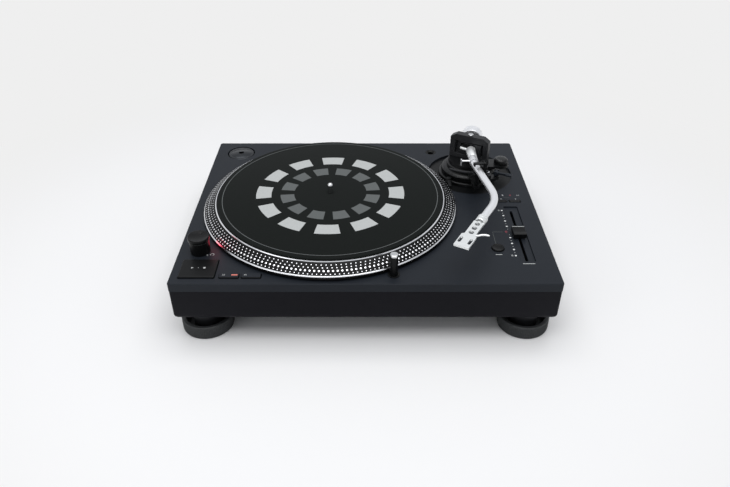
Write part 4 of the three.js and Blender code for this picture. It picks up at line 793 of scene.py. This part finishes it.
piece("deck_marks", marks, "cabinet", smooth=20)
print(len(marks), "marks on the deck")

# %% [markdown]
# Marks on a button move with it, so each button carries its own. The start button has a triangle, a dot and
# a square. The speed buttons carry their numbers, and the lit label beside 33 is a small salmon window. Each
# speed button's black body gets a top in the deck's paint, so its sides stay darker: painted shade.

# %% Print the buttons
start_x, start_y, _ = middle("start_stop_button")
start_ink = ink_on("start_stop_button")
triangle = [(start_x - 8.4, start_y - 1.3), (start_x - 8.4, start_y + 1.7), (start_x - 5.6, start_y + 0.2)]
piece("start_stop_marks", [
    (prism(triangle, *start_ink), pale_ink), dot_mark(start_ink, pale_ink, 0.5, start_x, start_y + 0.2),
    bar_mark(start_ink, pale_ink, start_x + 7, start_y + 0.2, 2.6, 2.6),
], "start_stop_button", smooth=20)
button_low, button_high = span("speed_33_button")
TOP_WIDTH, TOP_DEPTH = button_high.x - button_low.x - 1.0, button_high.y - button_low.y - 1.0
COAT = 0.03
for number, speed, shift in [("33", "slow", 6.2), ("45", "fast", 6.8)]:
    node = f"speed_{number}_button"
    x, y, _ = middle(node)
    low, high = ink_on(node)
    # Deck-paint top over the black body: the darker sides are painted shade.
    shapes = [bar_mark((low, high - COAT), deck_paint, x, y, TOP_WIDTH, TOP_DEPTH),
              (written(number, 2.7, x - shift, y + 0.4, low, high), pale_ink)]
    if number == "33":
        shapes.append(bar_mark((low, high), label_salmon, x + 6.4, y + 0.4, 7.0, 2.0))
    piece(f"{speed}_speed_marks", shapes, node, smooth=20)
knob_x, knob_y, _ = middle("pitch_knob")
knob_top = span("pitch_knob")[1].z
KNOB_WIDTH, HIGHLIGHT_INSET = 16.0, 0.35
# index is a pale strip along the knob's back top edge: a painted highlight.
index = [(knob_y + 7.2, knob_top - 0.02), (knob_y + 8.1, knob_top - 0.02), (knob_y + 9.3, knob_top - 0.62),
         (knob_y + 9.3, knob_top - 0.9), (knob_y + 7.2, knob_top - 0.9)]
painted_edge_highlight = prism(index, knob_x - KNOB_WIDTH / 2 + HIGHLIGHT_INSET, knob_x + KNOB_WIDTH / 2 - HIGHLIGHT_INSET)
upright = Matrix(((0, 0, 1, 0), (1, 0, 0, 0), (0, 1, 0, 0), (0, 0, 0, 1)))
piece("pitch_index_line", [(placed(painted_edge_highlight, upright), pale_ink)], "pitch_knob", smooth=20)
print("buttons and knob marked")

# %% [markdown]
# ## The tonearm's base
# Everything here is turned from a casting and enamelled black: a fixed plate in the recess, the ring that
# sets the height, with a fluted grip and a scale, and the platform on top. Smooth round pieces stand for
# the faceted ones. A thin black sheet on the recess's floor is painted shade: the recess lies in the base's
# shadow.

# %% Turn the base and the height ring
base_place, base_low, base_high, BASE_RADIUS = round_node("arm_base")
COLUMN_BORE, RECESS_FLOOR = 16.3, deck_top - 2.7
LEVER_HUB, LOBE_RADIUS = (-30.2, -29.4), 4.2
base = turned([
    (COLUMN_BORE, base_low), (COLUMN_BORE + 4, base_low), (COLUMN_BORE + 4, RECESS_FLOOR),
    (BASE_RADIUS, RECESS_FLOOR),
    *inset(BASE_RADIUS, base_high, [(0, 1.0), (0.35, 0.35), (1.0, 0), (4.6, 0), (5.0, 0.4), (5.6, 0.4),
      (6.0, 0)]), (COLUMN_BORE, base_high), (COLUMN_BORE, base_low),
], 240)
lobe = turned([
    (0, RECESS_FLOOR + 0.1), (LOBE_RADIUS, RECESS_FLOOR + 0.1), (LOBE_RADIUS, base_high - 0.6),
    (LOBE_RADIUS - 0.6, base_high), (0, base_high),
], 48)
lobe_place = (base_place[0] + LEVER_HUB[0], base_place[1] + LEVER_HUB[1], 0)
# A thin black sheet on the recess's floor: painted shade.
SHADE_SHEET_BORE, SHADE_SHEET_RADIUS, SHADE_SHEET_STEP = 26.0, 59.3, (2.7, -3.5)
shade_sheet_low, shade_sheet_high = deck_top - 2.98, deck_top - 2.82
recess_shade_sheet = turned([(SHADE_SHEET_BORE, shade_sheet_low), (SHADE_SHEET_RADIUS, shade_sheet_low), (SHADE_SHEET_RADIUS, shade_sheet_high),
                (SHADE_SHEET_BORE, shade_sheet_high), (SHADE_SHEET_BORE, shade_sheet_low)], 180)
shade_sheet_place = (base_place[0] + SHADE_SHEET_STEP[0], base_place[1] + SHADE_SHEET_STEP[1], 0)
piece("recess_painted_shade", [(placed(recess_shade_sheet, shade_sheet_place), control_plastic)], "cabinet")
piece("turned_arm_base", [(placed(base, base_place), casting), (placed(lobe, lobe_place), casting)],
      "cabinet", ["arm_base"])
ring_place, ring_low, ring_high, HEIGHT_RADIUS = round_node("height_ring")
FLUTES, FLUTE_DEPTH = 72, 0.35
height_ring = turned([
    (COLUMN_BORE, ring_low), *inset(HEIGHT_RADIUS, ring_low, [(1.2, 0), (0.3, -0.6), (0, -1.0, 1)]),
    *inset(HEIGHT_RADIUS, ring_high, [(0, 3.4, 1), (0.2, 2.9), (0.5, 2.5), (2.5, 0.2), (2.9, 0)]),
    (COLUMN_BORE, ring_high), (COLUMN_BORE, ring_low),
], 4 * FLUTES, ribs=[0, 0, -FLUTE_DEPTH, -FLUTE_DEPTH])
TICKS = 36
tick = prism(box_outline(0, 0, 1.7, 0.4), -PRINT, PRINT)
slant = Matrix.Translation((HEIGHT_RADIUS - 1.5, 0, ring_high - 1.35)) @ rotation(49, "Y")
ticks = copies(tick, Matrix.Translation(ring_place), slant, TICKS, TICKS)
ring_parts = [(placed(height_ring, ring_place), casting), *[(tick, dim_ink) for tick in ticks]]
piece("fluted_height_ring", ring_parts, "height_ring", ["height_ring"])
print("base", 2 * BASE_RADIUS, "mm and height ring", 2 * HEIGHT_RADIUS, "mm across")

# %% Turn the anti-skating dial and bend the lift bar
skate_place, skate_low, skate_high, SKATE_RADIUS = round_node("anti_skating_dial")
SKATE_RIBS, SKATE_RIB, SKATE_TICKS = 40, 0.3, 14
skate = turned([
    (0, skate_low), (SKATE_RADIUS - 0.5, skate_low), (SKATE_RADIUS, skate_low + 0.5, 1),
    *inset(SKATE_RADIUS, skate_high, [(0, 2.1, 1), (0.3, 1.7), (1.4, 0.5), (2.0, 0.3)]),
    (0, skate_high - 0.3),
], 4 * SKATE_RIBS, ribs=[0, 0, -SKATE_RIB, -SKATE_RIB])
tick = prism(box_outline(SKATE_RADIUS - 3.0, 0, 1.3, 0.35), skate_high - 0.35, skate_high - 0.25)
ticks = copies(tick, Matrix.Translation(skate_place), Matrix(), SKATE_TICKS, 18)
skate_parts = [(placed(skate, skate_place), casting), *[(tick, pale_ink) for tick in ticks]]
piece("ticked_anti_skating_dial", skate_parts, "anti_skating_dial", ["anti_skating_dial"])

LIFT_RADIUS, LIFT_WIDTH, LIFT_THICKNESS = 52.0, 3.0, 2.4
LIFT_ENDS, LIFT_STEM = (-128, -67), 2.3
lift_low, lift_high = span("lift_bar")
pivot = (base_place[0], base_place[1])
lift_end = arc(LIFT_RADIUS, LIFT_ENDS[1], LIFT_ENDS[1], 1)[0]
bar = arc_plate(LIFT_RADIUS - LIFT_WIDTH / 2, LIFT_RADIUS + LIFT_WIDTH / 2, *LIFT_ENDS, 48,
                lift_high.z - LIFT_THICKNESS, lift_high.z)
stem = turned([(0, lift_low.z), (LIFT_STEM, lift_low.z), (LIFT_STEM, lift_high.z - LIFT_THICKNESS),
               (0, lift_high.z - LIFT_THICKNESS)], 32)
piece("curved_lift_bar", [(placed(bar, (*pivot, 0)), rubber)], "lift_bar", ["lift_bar"],
      bevel=0.6)
piece("lift_bar_stem", [(placed(stem, (pivot[0] + lift_end[0], pivot[1] + lift_end[1], 0)), steel)],
      "lift_bar", bevel=0.2)
print("anti-skating dial and lift bar in place")

# %% [markdown]
# ## The arm
# The tube is drawn aluminium with a satin chrome plate, bent twice into a shallow S. It is one smooth sweep
# along three straight runs and two bends. A tapered boss holds it at the pivot, and a knurled nut at its
# front end pulls the headshell in.

# %% Sweep the tube
ARM_HEIGHT, TUBE_RADIUS = deck_top + 39.0, 4.8
FIRST_CORNER, FIRST_TURN, FIRST_BEND = 51.4, 10.5, 40.0
SECOND_RUN, SECOND_TURN, SECOND_BEND = 91.1, 39.5, 66.0
SHELL_START, TUBE_END = 63.0, 58.7
BEND_STEPS = 16


def heading(turn):
    """A direction in plan, turned from straight ahead."""
    return Vector((math.sin(math.radians(turn)), -math.cos(math.radians(turn)), 0))


arm_pivot = Vector((*pivot, ARM_HEIGHT))
shell_turn = FIRST_TURN - SECOND_TURN
first_corner = arm_pivot + heading(0) * FIRST_CORNER
second_corner = first_corner + heading(FIRST_TURN) * SECOND_RUN
tube_path = [arm_pivot + heading(0) * 11]
for corner, before, after, radius, turn in [
    (first_corner, heading(0), heading(FIRST_TURN), FIRST_BEND, FIRST_TURN),
    (second_corner, heading(FIRST_TURN), heading(shell_turn), SECOND_BEND, SECOND_TURN),
]:
    reach = radius * math.tan(math.radians(turn) / 2)
    start, end = corner - before * reach, corner + after * reach
    for step in range(BEND_STEPS + 1):
        share = step / BEND_STEPS
        tube_path.append(start * (1 - share) ** 2 + corner * 2 * share * (1 - share) + end * share ** 2)
tube_path.append(second_corner + heading(shell_turn) * TUBE_END)
piece("drawn_arm_tube", [(swept(tube_path, [TUBE_RADIUS] * len(tube_path), 48), tube_chrome)],
      "tonearm", ["arm_tube"], smooth=50)
print("tube runs through", len(tube_path), "points")

# %% Turn the boss, the nut and the weights
REAR_TURN = 12
ahead = Matrix.Translation(arm_pivot) @ rotation(90, "X")
behind = Matrix.Translation(arm_pivot) @ rotation(-REAR_TURN, "Z") @ rotation(-90, "X")
boss = turned([(5.0, 9.4), (6.4, 9.4), (6.8, 9.9), (6.7, 14.0), (5.9, 32.5), (5.6, 33), (5.0, 33),
               (5.0, 9.4)], 64)
piece("tapered_boss", [(placed(boss, ahead), blasted)], "tonearm", ["tube_boss"])

NUT_START, NUT_END, NUT_RADIUS = 50.0, 62.0, 6.4
NUT_KNURLS, NUT_BORE, nut_length = 30, 5.1, NUT_END - NUT_START
nut = turned([
    (NUT_BORE, 0), (5.6, 0), (NUT_RADIUS - 0.1, 0.6), (NUT_RADIUS, 1.0, 1), (NUT_RADIUS, 5.0, 1),
    (NUT_RADIUS - 0.8, 5.5), (NUT_RADIUS - 0.8, 6.4), (NUT_RADIUS, 6.9), (NUT_RADIUS, 11.2),
    (NUT_RADIUS - 0.6, nut_length), (NUT_BORE, nut_length), (NUT_BORE, 0),
], 4 * NUT_KNURLS, ribs=[0, 0, -0.22, -0.22])


def on_shell(distance, height):
    """From the headshell's own axes, +Y forward, to its place on the arm."""
    place = second_corner + heading(shell_turn) * distance
    return Matrix.Translation((place.x, place.y, height)) @ rotation(180 + shell_turn, "Z")


forward = rotation(-90, "X")
piece("knurled_headshell_nut", [(placed(nut, on_shell(NUT_START, ARM_HEIGHT) @ forward), blasted)],
      "headshell_nut", ["headshell_nut"])

hub = turned([(4.3, 15), (6.0, 15), (6.5, 15.6), (6.5, 42.4), (6.0, 43), (4.3, 43), (4.3, 15)], 64)
piece("weight_hub_sleeve", [(placed(hub, behind), control_plastic)], "weight_hub",
      ["weight_hub"])
HUB_CLEAR = 6.8
DIAL_FRONT, DIAL_BACK, FORCE_RADIUS = 18.5, 23.8, 13.0
force = turned([
    (HUB_CLEAR, DIAL_FRONT), *inset(FORCE_RADIUS, DIAL_FRONT, [(1.2, 0), (0.4, -0.5), (0, -1.4)]),
    (FORCE_RADIUS, DIAL_BACK - 0.4), (FORCE_RADIUS - 0.4, DIAL_BACK), (HUB_CLEAR, DIAL_BACK),
    (HUB_CLEAR, DIAL_FRONT),
], 96)
force_parts = [(placed(force, behind), control_plastic)]
FORCE_TICKS = 40
for turn in range(FORCE_TICKS):
    long = 2.4 if turn % 4 == 0 else 1.4
    tick = prism(box_outline(FORCE_RADIUS - 0.01, 0, 0.06, 0.3), DIAL_FRONT + 1.6, DIAL_FRONT + 1.6 + long)
    around = behind @ Matrix.Rotation(math.tau * turn / FORCE_TICKS, 4, "Z")
    force_parts.append((placed(tick, around), white_ink))
piece("ticked_force_dial", force_parts, "force_dial", ["force_dial"])
WEIGHT_START, WEIGHT_END, WEIGHT_RADIUS = 24.2, 41.6, 15.0
weight = turned([
    (HUB_CLEAR, WEIGHT_START), *inset(WEIGHT_RADIUS, WEIGHT_START, [(1.4, 0), (0.4, -0.4), (0, -1.2)]),
    *inset(WEIGHT_RADIUS, WEIGHT_END, [(0, 6.5), (0.7, 6.1), (0.7, 5.3), (0, 4.9), (0, 1.2), (1.2, 0)]),
    (9.0, WEIGHT_END), (8.4, WEIGHT_END - 0.8), (HUB_CLEAR, WEIGHT_END - 0.8), (HUB_CLEAR, WEIGHT_START),
], 144)
piece("turned_counterweight", [(placed(weight, behind), tube_chrome)], "counterweight",
      ["counterweight"])
dress("arm_collar", tube_chrome, 0.5)
print("boss, nut, hub, force dial and counterweight turned")

# %% [markdown]
# ## The headshell
# A cast plate with three round lightening holes, two long slots for the cartridge screws and a lip at the
# front. It is bead-blasted, so it looks nearly white. The holes show the dark underside of the shell, and
# the finger lift is a bent wire on its side.

# %% Punch the headshell and bend the finger lift
SHELL_LENGTH, SHELL_THICKNESS = 56.4, 2.4
NECK_HALF, NECK_LENGTH, FLARE, FACE_HALF = 6.5, 30.0, 2.5, 9.2
HOLE_RADIUS, FIRST_HOLE, HOLE_PITCH = 3.2, 6.2, 9.6
SLOT_X, SLOT_Y, SLOT_HALF_WIDTH, SLOT_REACH = 6.0, 44.2, 1.9, 3.9
shell_top = ARM_HEIGHT + 2.5
wide_from = NECK_LENGTH + FLARE
half_outline = [(NECK_HALF, 0), (NECK_HALF, NECK_LENGTH), (FACE_HALF, wide_from), (FACE_HALF, SHELL_LENGTH)]
shell_outline = half_outline + [(-x, y) for x, y in reversed(half_outline)]
holes = [arc(HOLE_RADIUS, 0, -350, 35, (0, FIRST_HOLE + hole * HOLE_PITCH)) for hole in range(3)]
for x in (-SLOT_X, SLOT_X):
    holes.append(arc(SLOT_HALF_WIDTH, 0, 180, 12, (x, SLOT_Y + SLOT_REACH))
                 + arc(SLOT_HALF_WIDTH, 180, 360, 12, (x, SLOT_Y - SLOT_REACH)))
plate = punched(shell_outline, holes, -SHELL_THICKNESS, 0)
shell_place = on_shell(SHELL_START, shell_top)
lip = prism(box_outline(0, SHELL_LENGTH - 1.1, 2 * FACE_HALF, 2.2),
            -SHELL_THICKNESS - 0.8, -SHELL_THICKNESS + 0.5)
plug = turned([(0, -4), (3.1, -4), (3.6, -3.5), (3.6, 2), (0, 2)], 48)
piece("punched_headshell", [(placed(plate, shell_place), blasted)], "tonearm", ["headshell"],
      smooth=25, bevel=0.35)
piece("headshell_lip", [(placed(lip, shell_place), blasted)], "tonearm", bevel=0.4)
piece("headshell_plug", [(placed(plug, on_shell(SHELL_START, ARM_HEIGHT) @ forward), blasted)],
      "tonearm", bevel=0.2)

WIRE_RADIUS, WIRE_AT, WIRE_BACK, WIRE_OUT = 1.3, 28.0, 5.2, 14.5
side_x, side_z = -NECK_HALF - 0.1, -SHELL_THICKNESS / 2
wire_start = Vector((side_x, WIRE_AT, side_z))
wire_bend = Vector((side_x - WIRE_OUT / 4, WIRE_AT, side_z))
wire_turn = Vector((side_x - WIRE_OUT / 4, WIRE_AT - WIRE_BACK * 4 / 3, side_z))
wire_end = Vector((side_x - WIRE_OUT, WIRE_AT - WIRE_BACK, side_z + 1.4))
WIRE_STEPS = 24
wire_path, wire_radii = [], []
for step in range(WIRE_STEPS + 1):
    share = step / WIRE_STEPS
    wire_path.append(wire_start * (1 - share) ** 3 + wire_bend * 3 * share * (1 - share) ** 2
                     + wire_turn * 3 * share ** 2 * (1 - share) + wire_end * share ** 3)
    wire_radii.append(WIRE_RADIUS * min(1, 0.55 + 6 * (1 - share)))
piece("bent_finger_lift", [(placed(swept(wire_path, wire_radii, 24), shell_place), blasted)],
      "tonearm", ["finger_lift"], smooth=60)
print("headshell", SHELL_LENGTH, "mm long with", len(holes), "openings")

# %% [markdown]
# ## Gimbal details
# The screw in the housing's top is polished. The pivot block carries a satin bar in front of its tilt pins,
# which shows in the window beside the tube. The inner ring stands turned against the housing, and the bar
# follows it.

# %% Turn the top screw and fit the tilt bar
screw_place, screw_low, screw_high, _ = round_node("top_pivot_screw")
HEAD_RADIUS, HEAD_HEIGHT, PIN_RADIUS, SOCKET_RADIUS = 3.6, 1.4, 2.0, 1.3
screw = turned([
    (0, screw_low), (PIN_RADIUS - 0.5, screw_low), (PIN_RADIUS, screw_low + 0.5),
    (PIN_RADIUS, screw_high - HEAD_HEIGHT), (HEAD_RADIUS, screw_high - HEAD_HEIGHT),
    (HEAD_RADIUS, screw_high - 0.4), (HEAD_RADIUS - 0.4, screw_high), (SOCKET_RADIUS, screw_high),
    (SOCKET_RADIUS, screw_high - 0.7), (0, screw_high - 0.7),
], 48)
piece("polished_top_screw", [(placed(screw, screw_place), steel)], "arm_platform",
      ["top_pivot_screw"])
RING_TURN = 37
BAR_RADIUS, BAR_LENGTH, BAR_FRONT, BAR_DROP = 2.4, 12.0, 4.6, 2.2
bar = turned([(0, 0), (BAR_RADIUS - 0.5, 0), (BAR_RADIUS, 0.5), (BAR_RADIUS, BAR_LENGTH), (0, BAR_LENGTH)],
             32)
beside = Matrix.Translation((-BAR_LENGTH, -BAR_FRONT, -BAR_DROP))
bar_place = Matrix.Translation(arm_pivot) @ rotation(-RING_TURN, "Z") @ beside @ rotation(90, "Y")
piece("satin_tilt_bar", [(placed(bar, bar_place), blasted)], "tonearm")
print("gimbal details in place")

# %% [markdown]
# ## The back and the underside
# The signal jacks are gold-plated rings round a dark middle, the earth post is a knurled steel nut, and the
# bottom cover is held by small cross-head screws.

# %% Fit the jack rings and the cover's screws
terminal_low, terminal_high = span("signal_terminals")
jack_z = (terminal_low.z + terminal_high.z) / 2
jack_wall = terminal_low.y + 2.0
jack_x = (terminal_low.x + terminal_high.x) / 2
jack_parts = []
jack = turned([(4.25, 0.2), (6.2, 0.2), (6.2, 2.2), (4.9, 2.2), (4.9, 11.0), (4.5, 11.4), (4.25, 11.4),
               (4.25, 0.2)], 48)
post_nut = turned([(3.2, 3.0), (4.4, 3.0), (4.8, 3.4, 1), (4.8, 8.6, 1), (4.4, 9.0), (3.2, 9.0), (3.2, 3.0)],
                  4 * 18, ribs=[0, 0, -0.3, -0.3])
for offset, shape, metal in [(-20, jack, gold), (0, jack, gold), (20, post_nut, steel)]:
    to_back = Matrix.Translation((jack_x + offset, jack_wall, jack_z)) @ rotation(-90, "X")
    jack_parts.append((placed(shape, to_back), metal))
piece("signal_jack_rings", jack_parts, "cabinet")

cover_low, cover_high = span("bottom_cover")
SCREW_INSET = 16.0
screw_head = turned([(0, -0.1), (1.2, -0.1), (1.5, -1.1), (2.9, -1.1), (3.3, -0.7), (3.4, 0.2), (0, 0.2)], 32)
screws = []
for x_share in (-1, -0.33, 0.33, 1):
    for y_share in (-1, 0, 1):
        if abs(x_share) < 1 and y_share == 0:
            continue
        x = x_share * ((cover_high.x - cover_low.x) / 2 - SCREW_INSET) + (cover_high.x + cover_low.x) / 2
        y = y_share * ((cover_high.y - cover_low.y) / 2 - SCREW_INSET) + (cover_high.y + cover_low.y) / 2
        screws.append((placed(screw_head, (x, y, cover_low.z)), bearing_steel))
piece("cover_screws", screws, "cabinet")
print(len(screws), "screws in the cover")

# %% [markdown]
# ## Light, floor and camera settings
# A large soft lamp hangs above and a little in front, as in a product studio, so the shadow stays close
# under the cabinet. A small one lifts the left side, and a pale world fills the rest. The world is brighter
# where the camera or a reflection sees it than in the light it gives, so metal shows a white room. A tiny
# red lamp in front of the lit window tints the deck and the platter's edge.

# %% Light the scene
def lamp(name, kind, energy, place, target, colour="ffffff", size=0.0):
    """An area or point lamp that faces a target, in metres and watts."""
    data = bpy.data.lights.new(name, kind)
    data.energy = energy
    data.color = linear(colour)[:3]
    if kind == "AREA":
        data.size = size
    else:
        data.shadow_soft_size = size
    made = in_scene(name, data)
    made.location = place
    made.rotation_euler = (Vector(target) - Vector(place)).to_track_quat("-Z", "Y").to_euler()


lamp("softbox", "AREA", 42, (0.0, -0.25, 2.1), (0, -0.1, 0.05), size=2.4)
lamp("side_fill", "AREA", 2.5, (-1.2, -1.1, 0.5), (-0.15, -0.1, 0.05), size=0.8)
window_low, window_high = span("strobe_window")
WINDOW_TURN, GLOW_OUT = 35, 6
outward = Vector((math.cos(math.radians(WINDOW_TURN)), math.sin(math.radians(WINDOW_TURN)), 0))
glow = (window_low + window_high) / 2 + outward * GLOW_OUT
lamp("strobe_glow", "POINT", 0.0045, tuple(glow * MM), (0, 0, 0), "ff3454", 0.009)


def seen_directly(tree):
    """1 for what the camera sees, also in a mirror or through glass, and 0 for scattered light."""
    ray = add(tree, "ShaderNodeLightPath").outputs
    direct = add(tree, "ShaderNodeMath", {"operation": "ADD", "use_clamp": True},
                 {0: ray["Is Camera Ray"], 1: ray["Is Glossy Ray"]})
    return add(tree, "ShaderNodeMath", {"operation": "ADD", "use_clamp": True},
               {0: direct.outputs["Value"], 1: ray["Is Transmission Ray"]}).outputs["Value"]


world = bpy.data.worlds.new("studio_world")
bpy.context.scene.world = world
world.use_nodes = True
backdrop = world.node_tree.nodes["Background"]
backdrop.inputs["Color"].default_value = linear("f4f6fa")
DIM, BRIGHT = 0.45, 0.8
strength = add(world.node_tree, "ShaderNodeMapRange", {"To Min": DIM, "To Max": BRIGHT},
               {"Value": seen_directly(world.node_tree)})
world.node_tree.links.new(strength.outputs["Result"], backdrop.inputs["Strength"])
print("a softbox, a side lamp, one red glow and a pale world")

# %% [markdown]
# The floor keeps the shadow near the player. Further out it turns into plain pale paper of an even
# brightness.

# %% Lay the floor
FLOOR_HALF = 40000
floor_paint = finish("matt_studio_paper", "efefef", 0.0, 0.9, drift=(400, "eeeeef", "f0f0f0"),
                     sockets={SHINE: 0.0})
floor_tree = floor_paint.node_tree
floor_shader = floor_tree.nodes["Principled BSDF"]
SHADOW_REACH = (0.36, 0.75)
floor_place = add(floor_tree, "ShaderNodeNewGeometry")
floor_reach = add(floor_tree, "ShaderNodeVectorMath", {"operation": "LENGTH"},
                  {0: floor_place.outputs["Position"]})
fading = {"interpolation_type": "SMOOTHSTEP", "From Min": SHADOW_REACH[0], "From Max": SHADOW_REACH[1]}
past_shadow = add(floor_tree, "ShaderNodeMapRange", fading, {"Value": floor_reach.outputs["Value"]})
plain = add(floor_tree, "ShaderNodeMath", {"operation": "MULTIPLY"},
            {0: seen_directly(floor_tree), 1: past_shadow.outputs["Result"]})
backdrop_white = add(floor_tree, "ShaderNodeEmission", {"Color": linear("efefef"), "Strength": 1.0})
floor_mix = add(floor_tree, "ShaderNodeMixShader", links={
    0: plain.outputs["Value"], 1: floor_shader.outputs["BSDF"], 2: backdrop_white.outputs["Emission"]})
floor_tree.links.new(floor_mix.outputs["Shader"], floor_tree.nodes["Material Output"].inputs["Surface"])
floor_mesh = bpy.data.meshes.new("studio_floor")
floor_corners = box_outline(0, 0, 2 * FLOOR_HALF, 2 * FLOOR_HALF)
floor_mesh.from_pydata([Vector((x, y, 0)) * MM for x, y in floor_corners], [], [[0, 1, 2, 3]])
floor_mesh.materials.append(floor_paint)
studio_floor = in_scene("studio_floor", floor_mesh)
bpy.context.scene.view_settings.view_transform = "Standard"
print("floor", 2 * FLOOR_HALF / 1000, "m square")
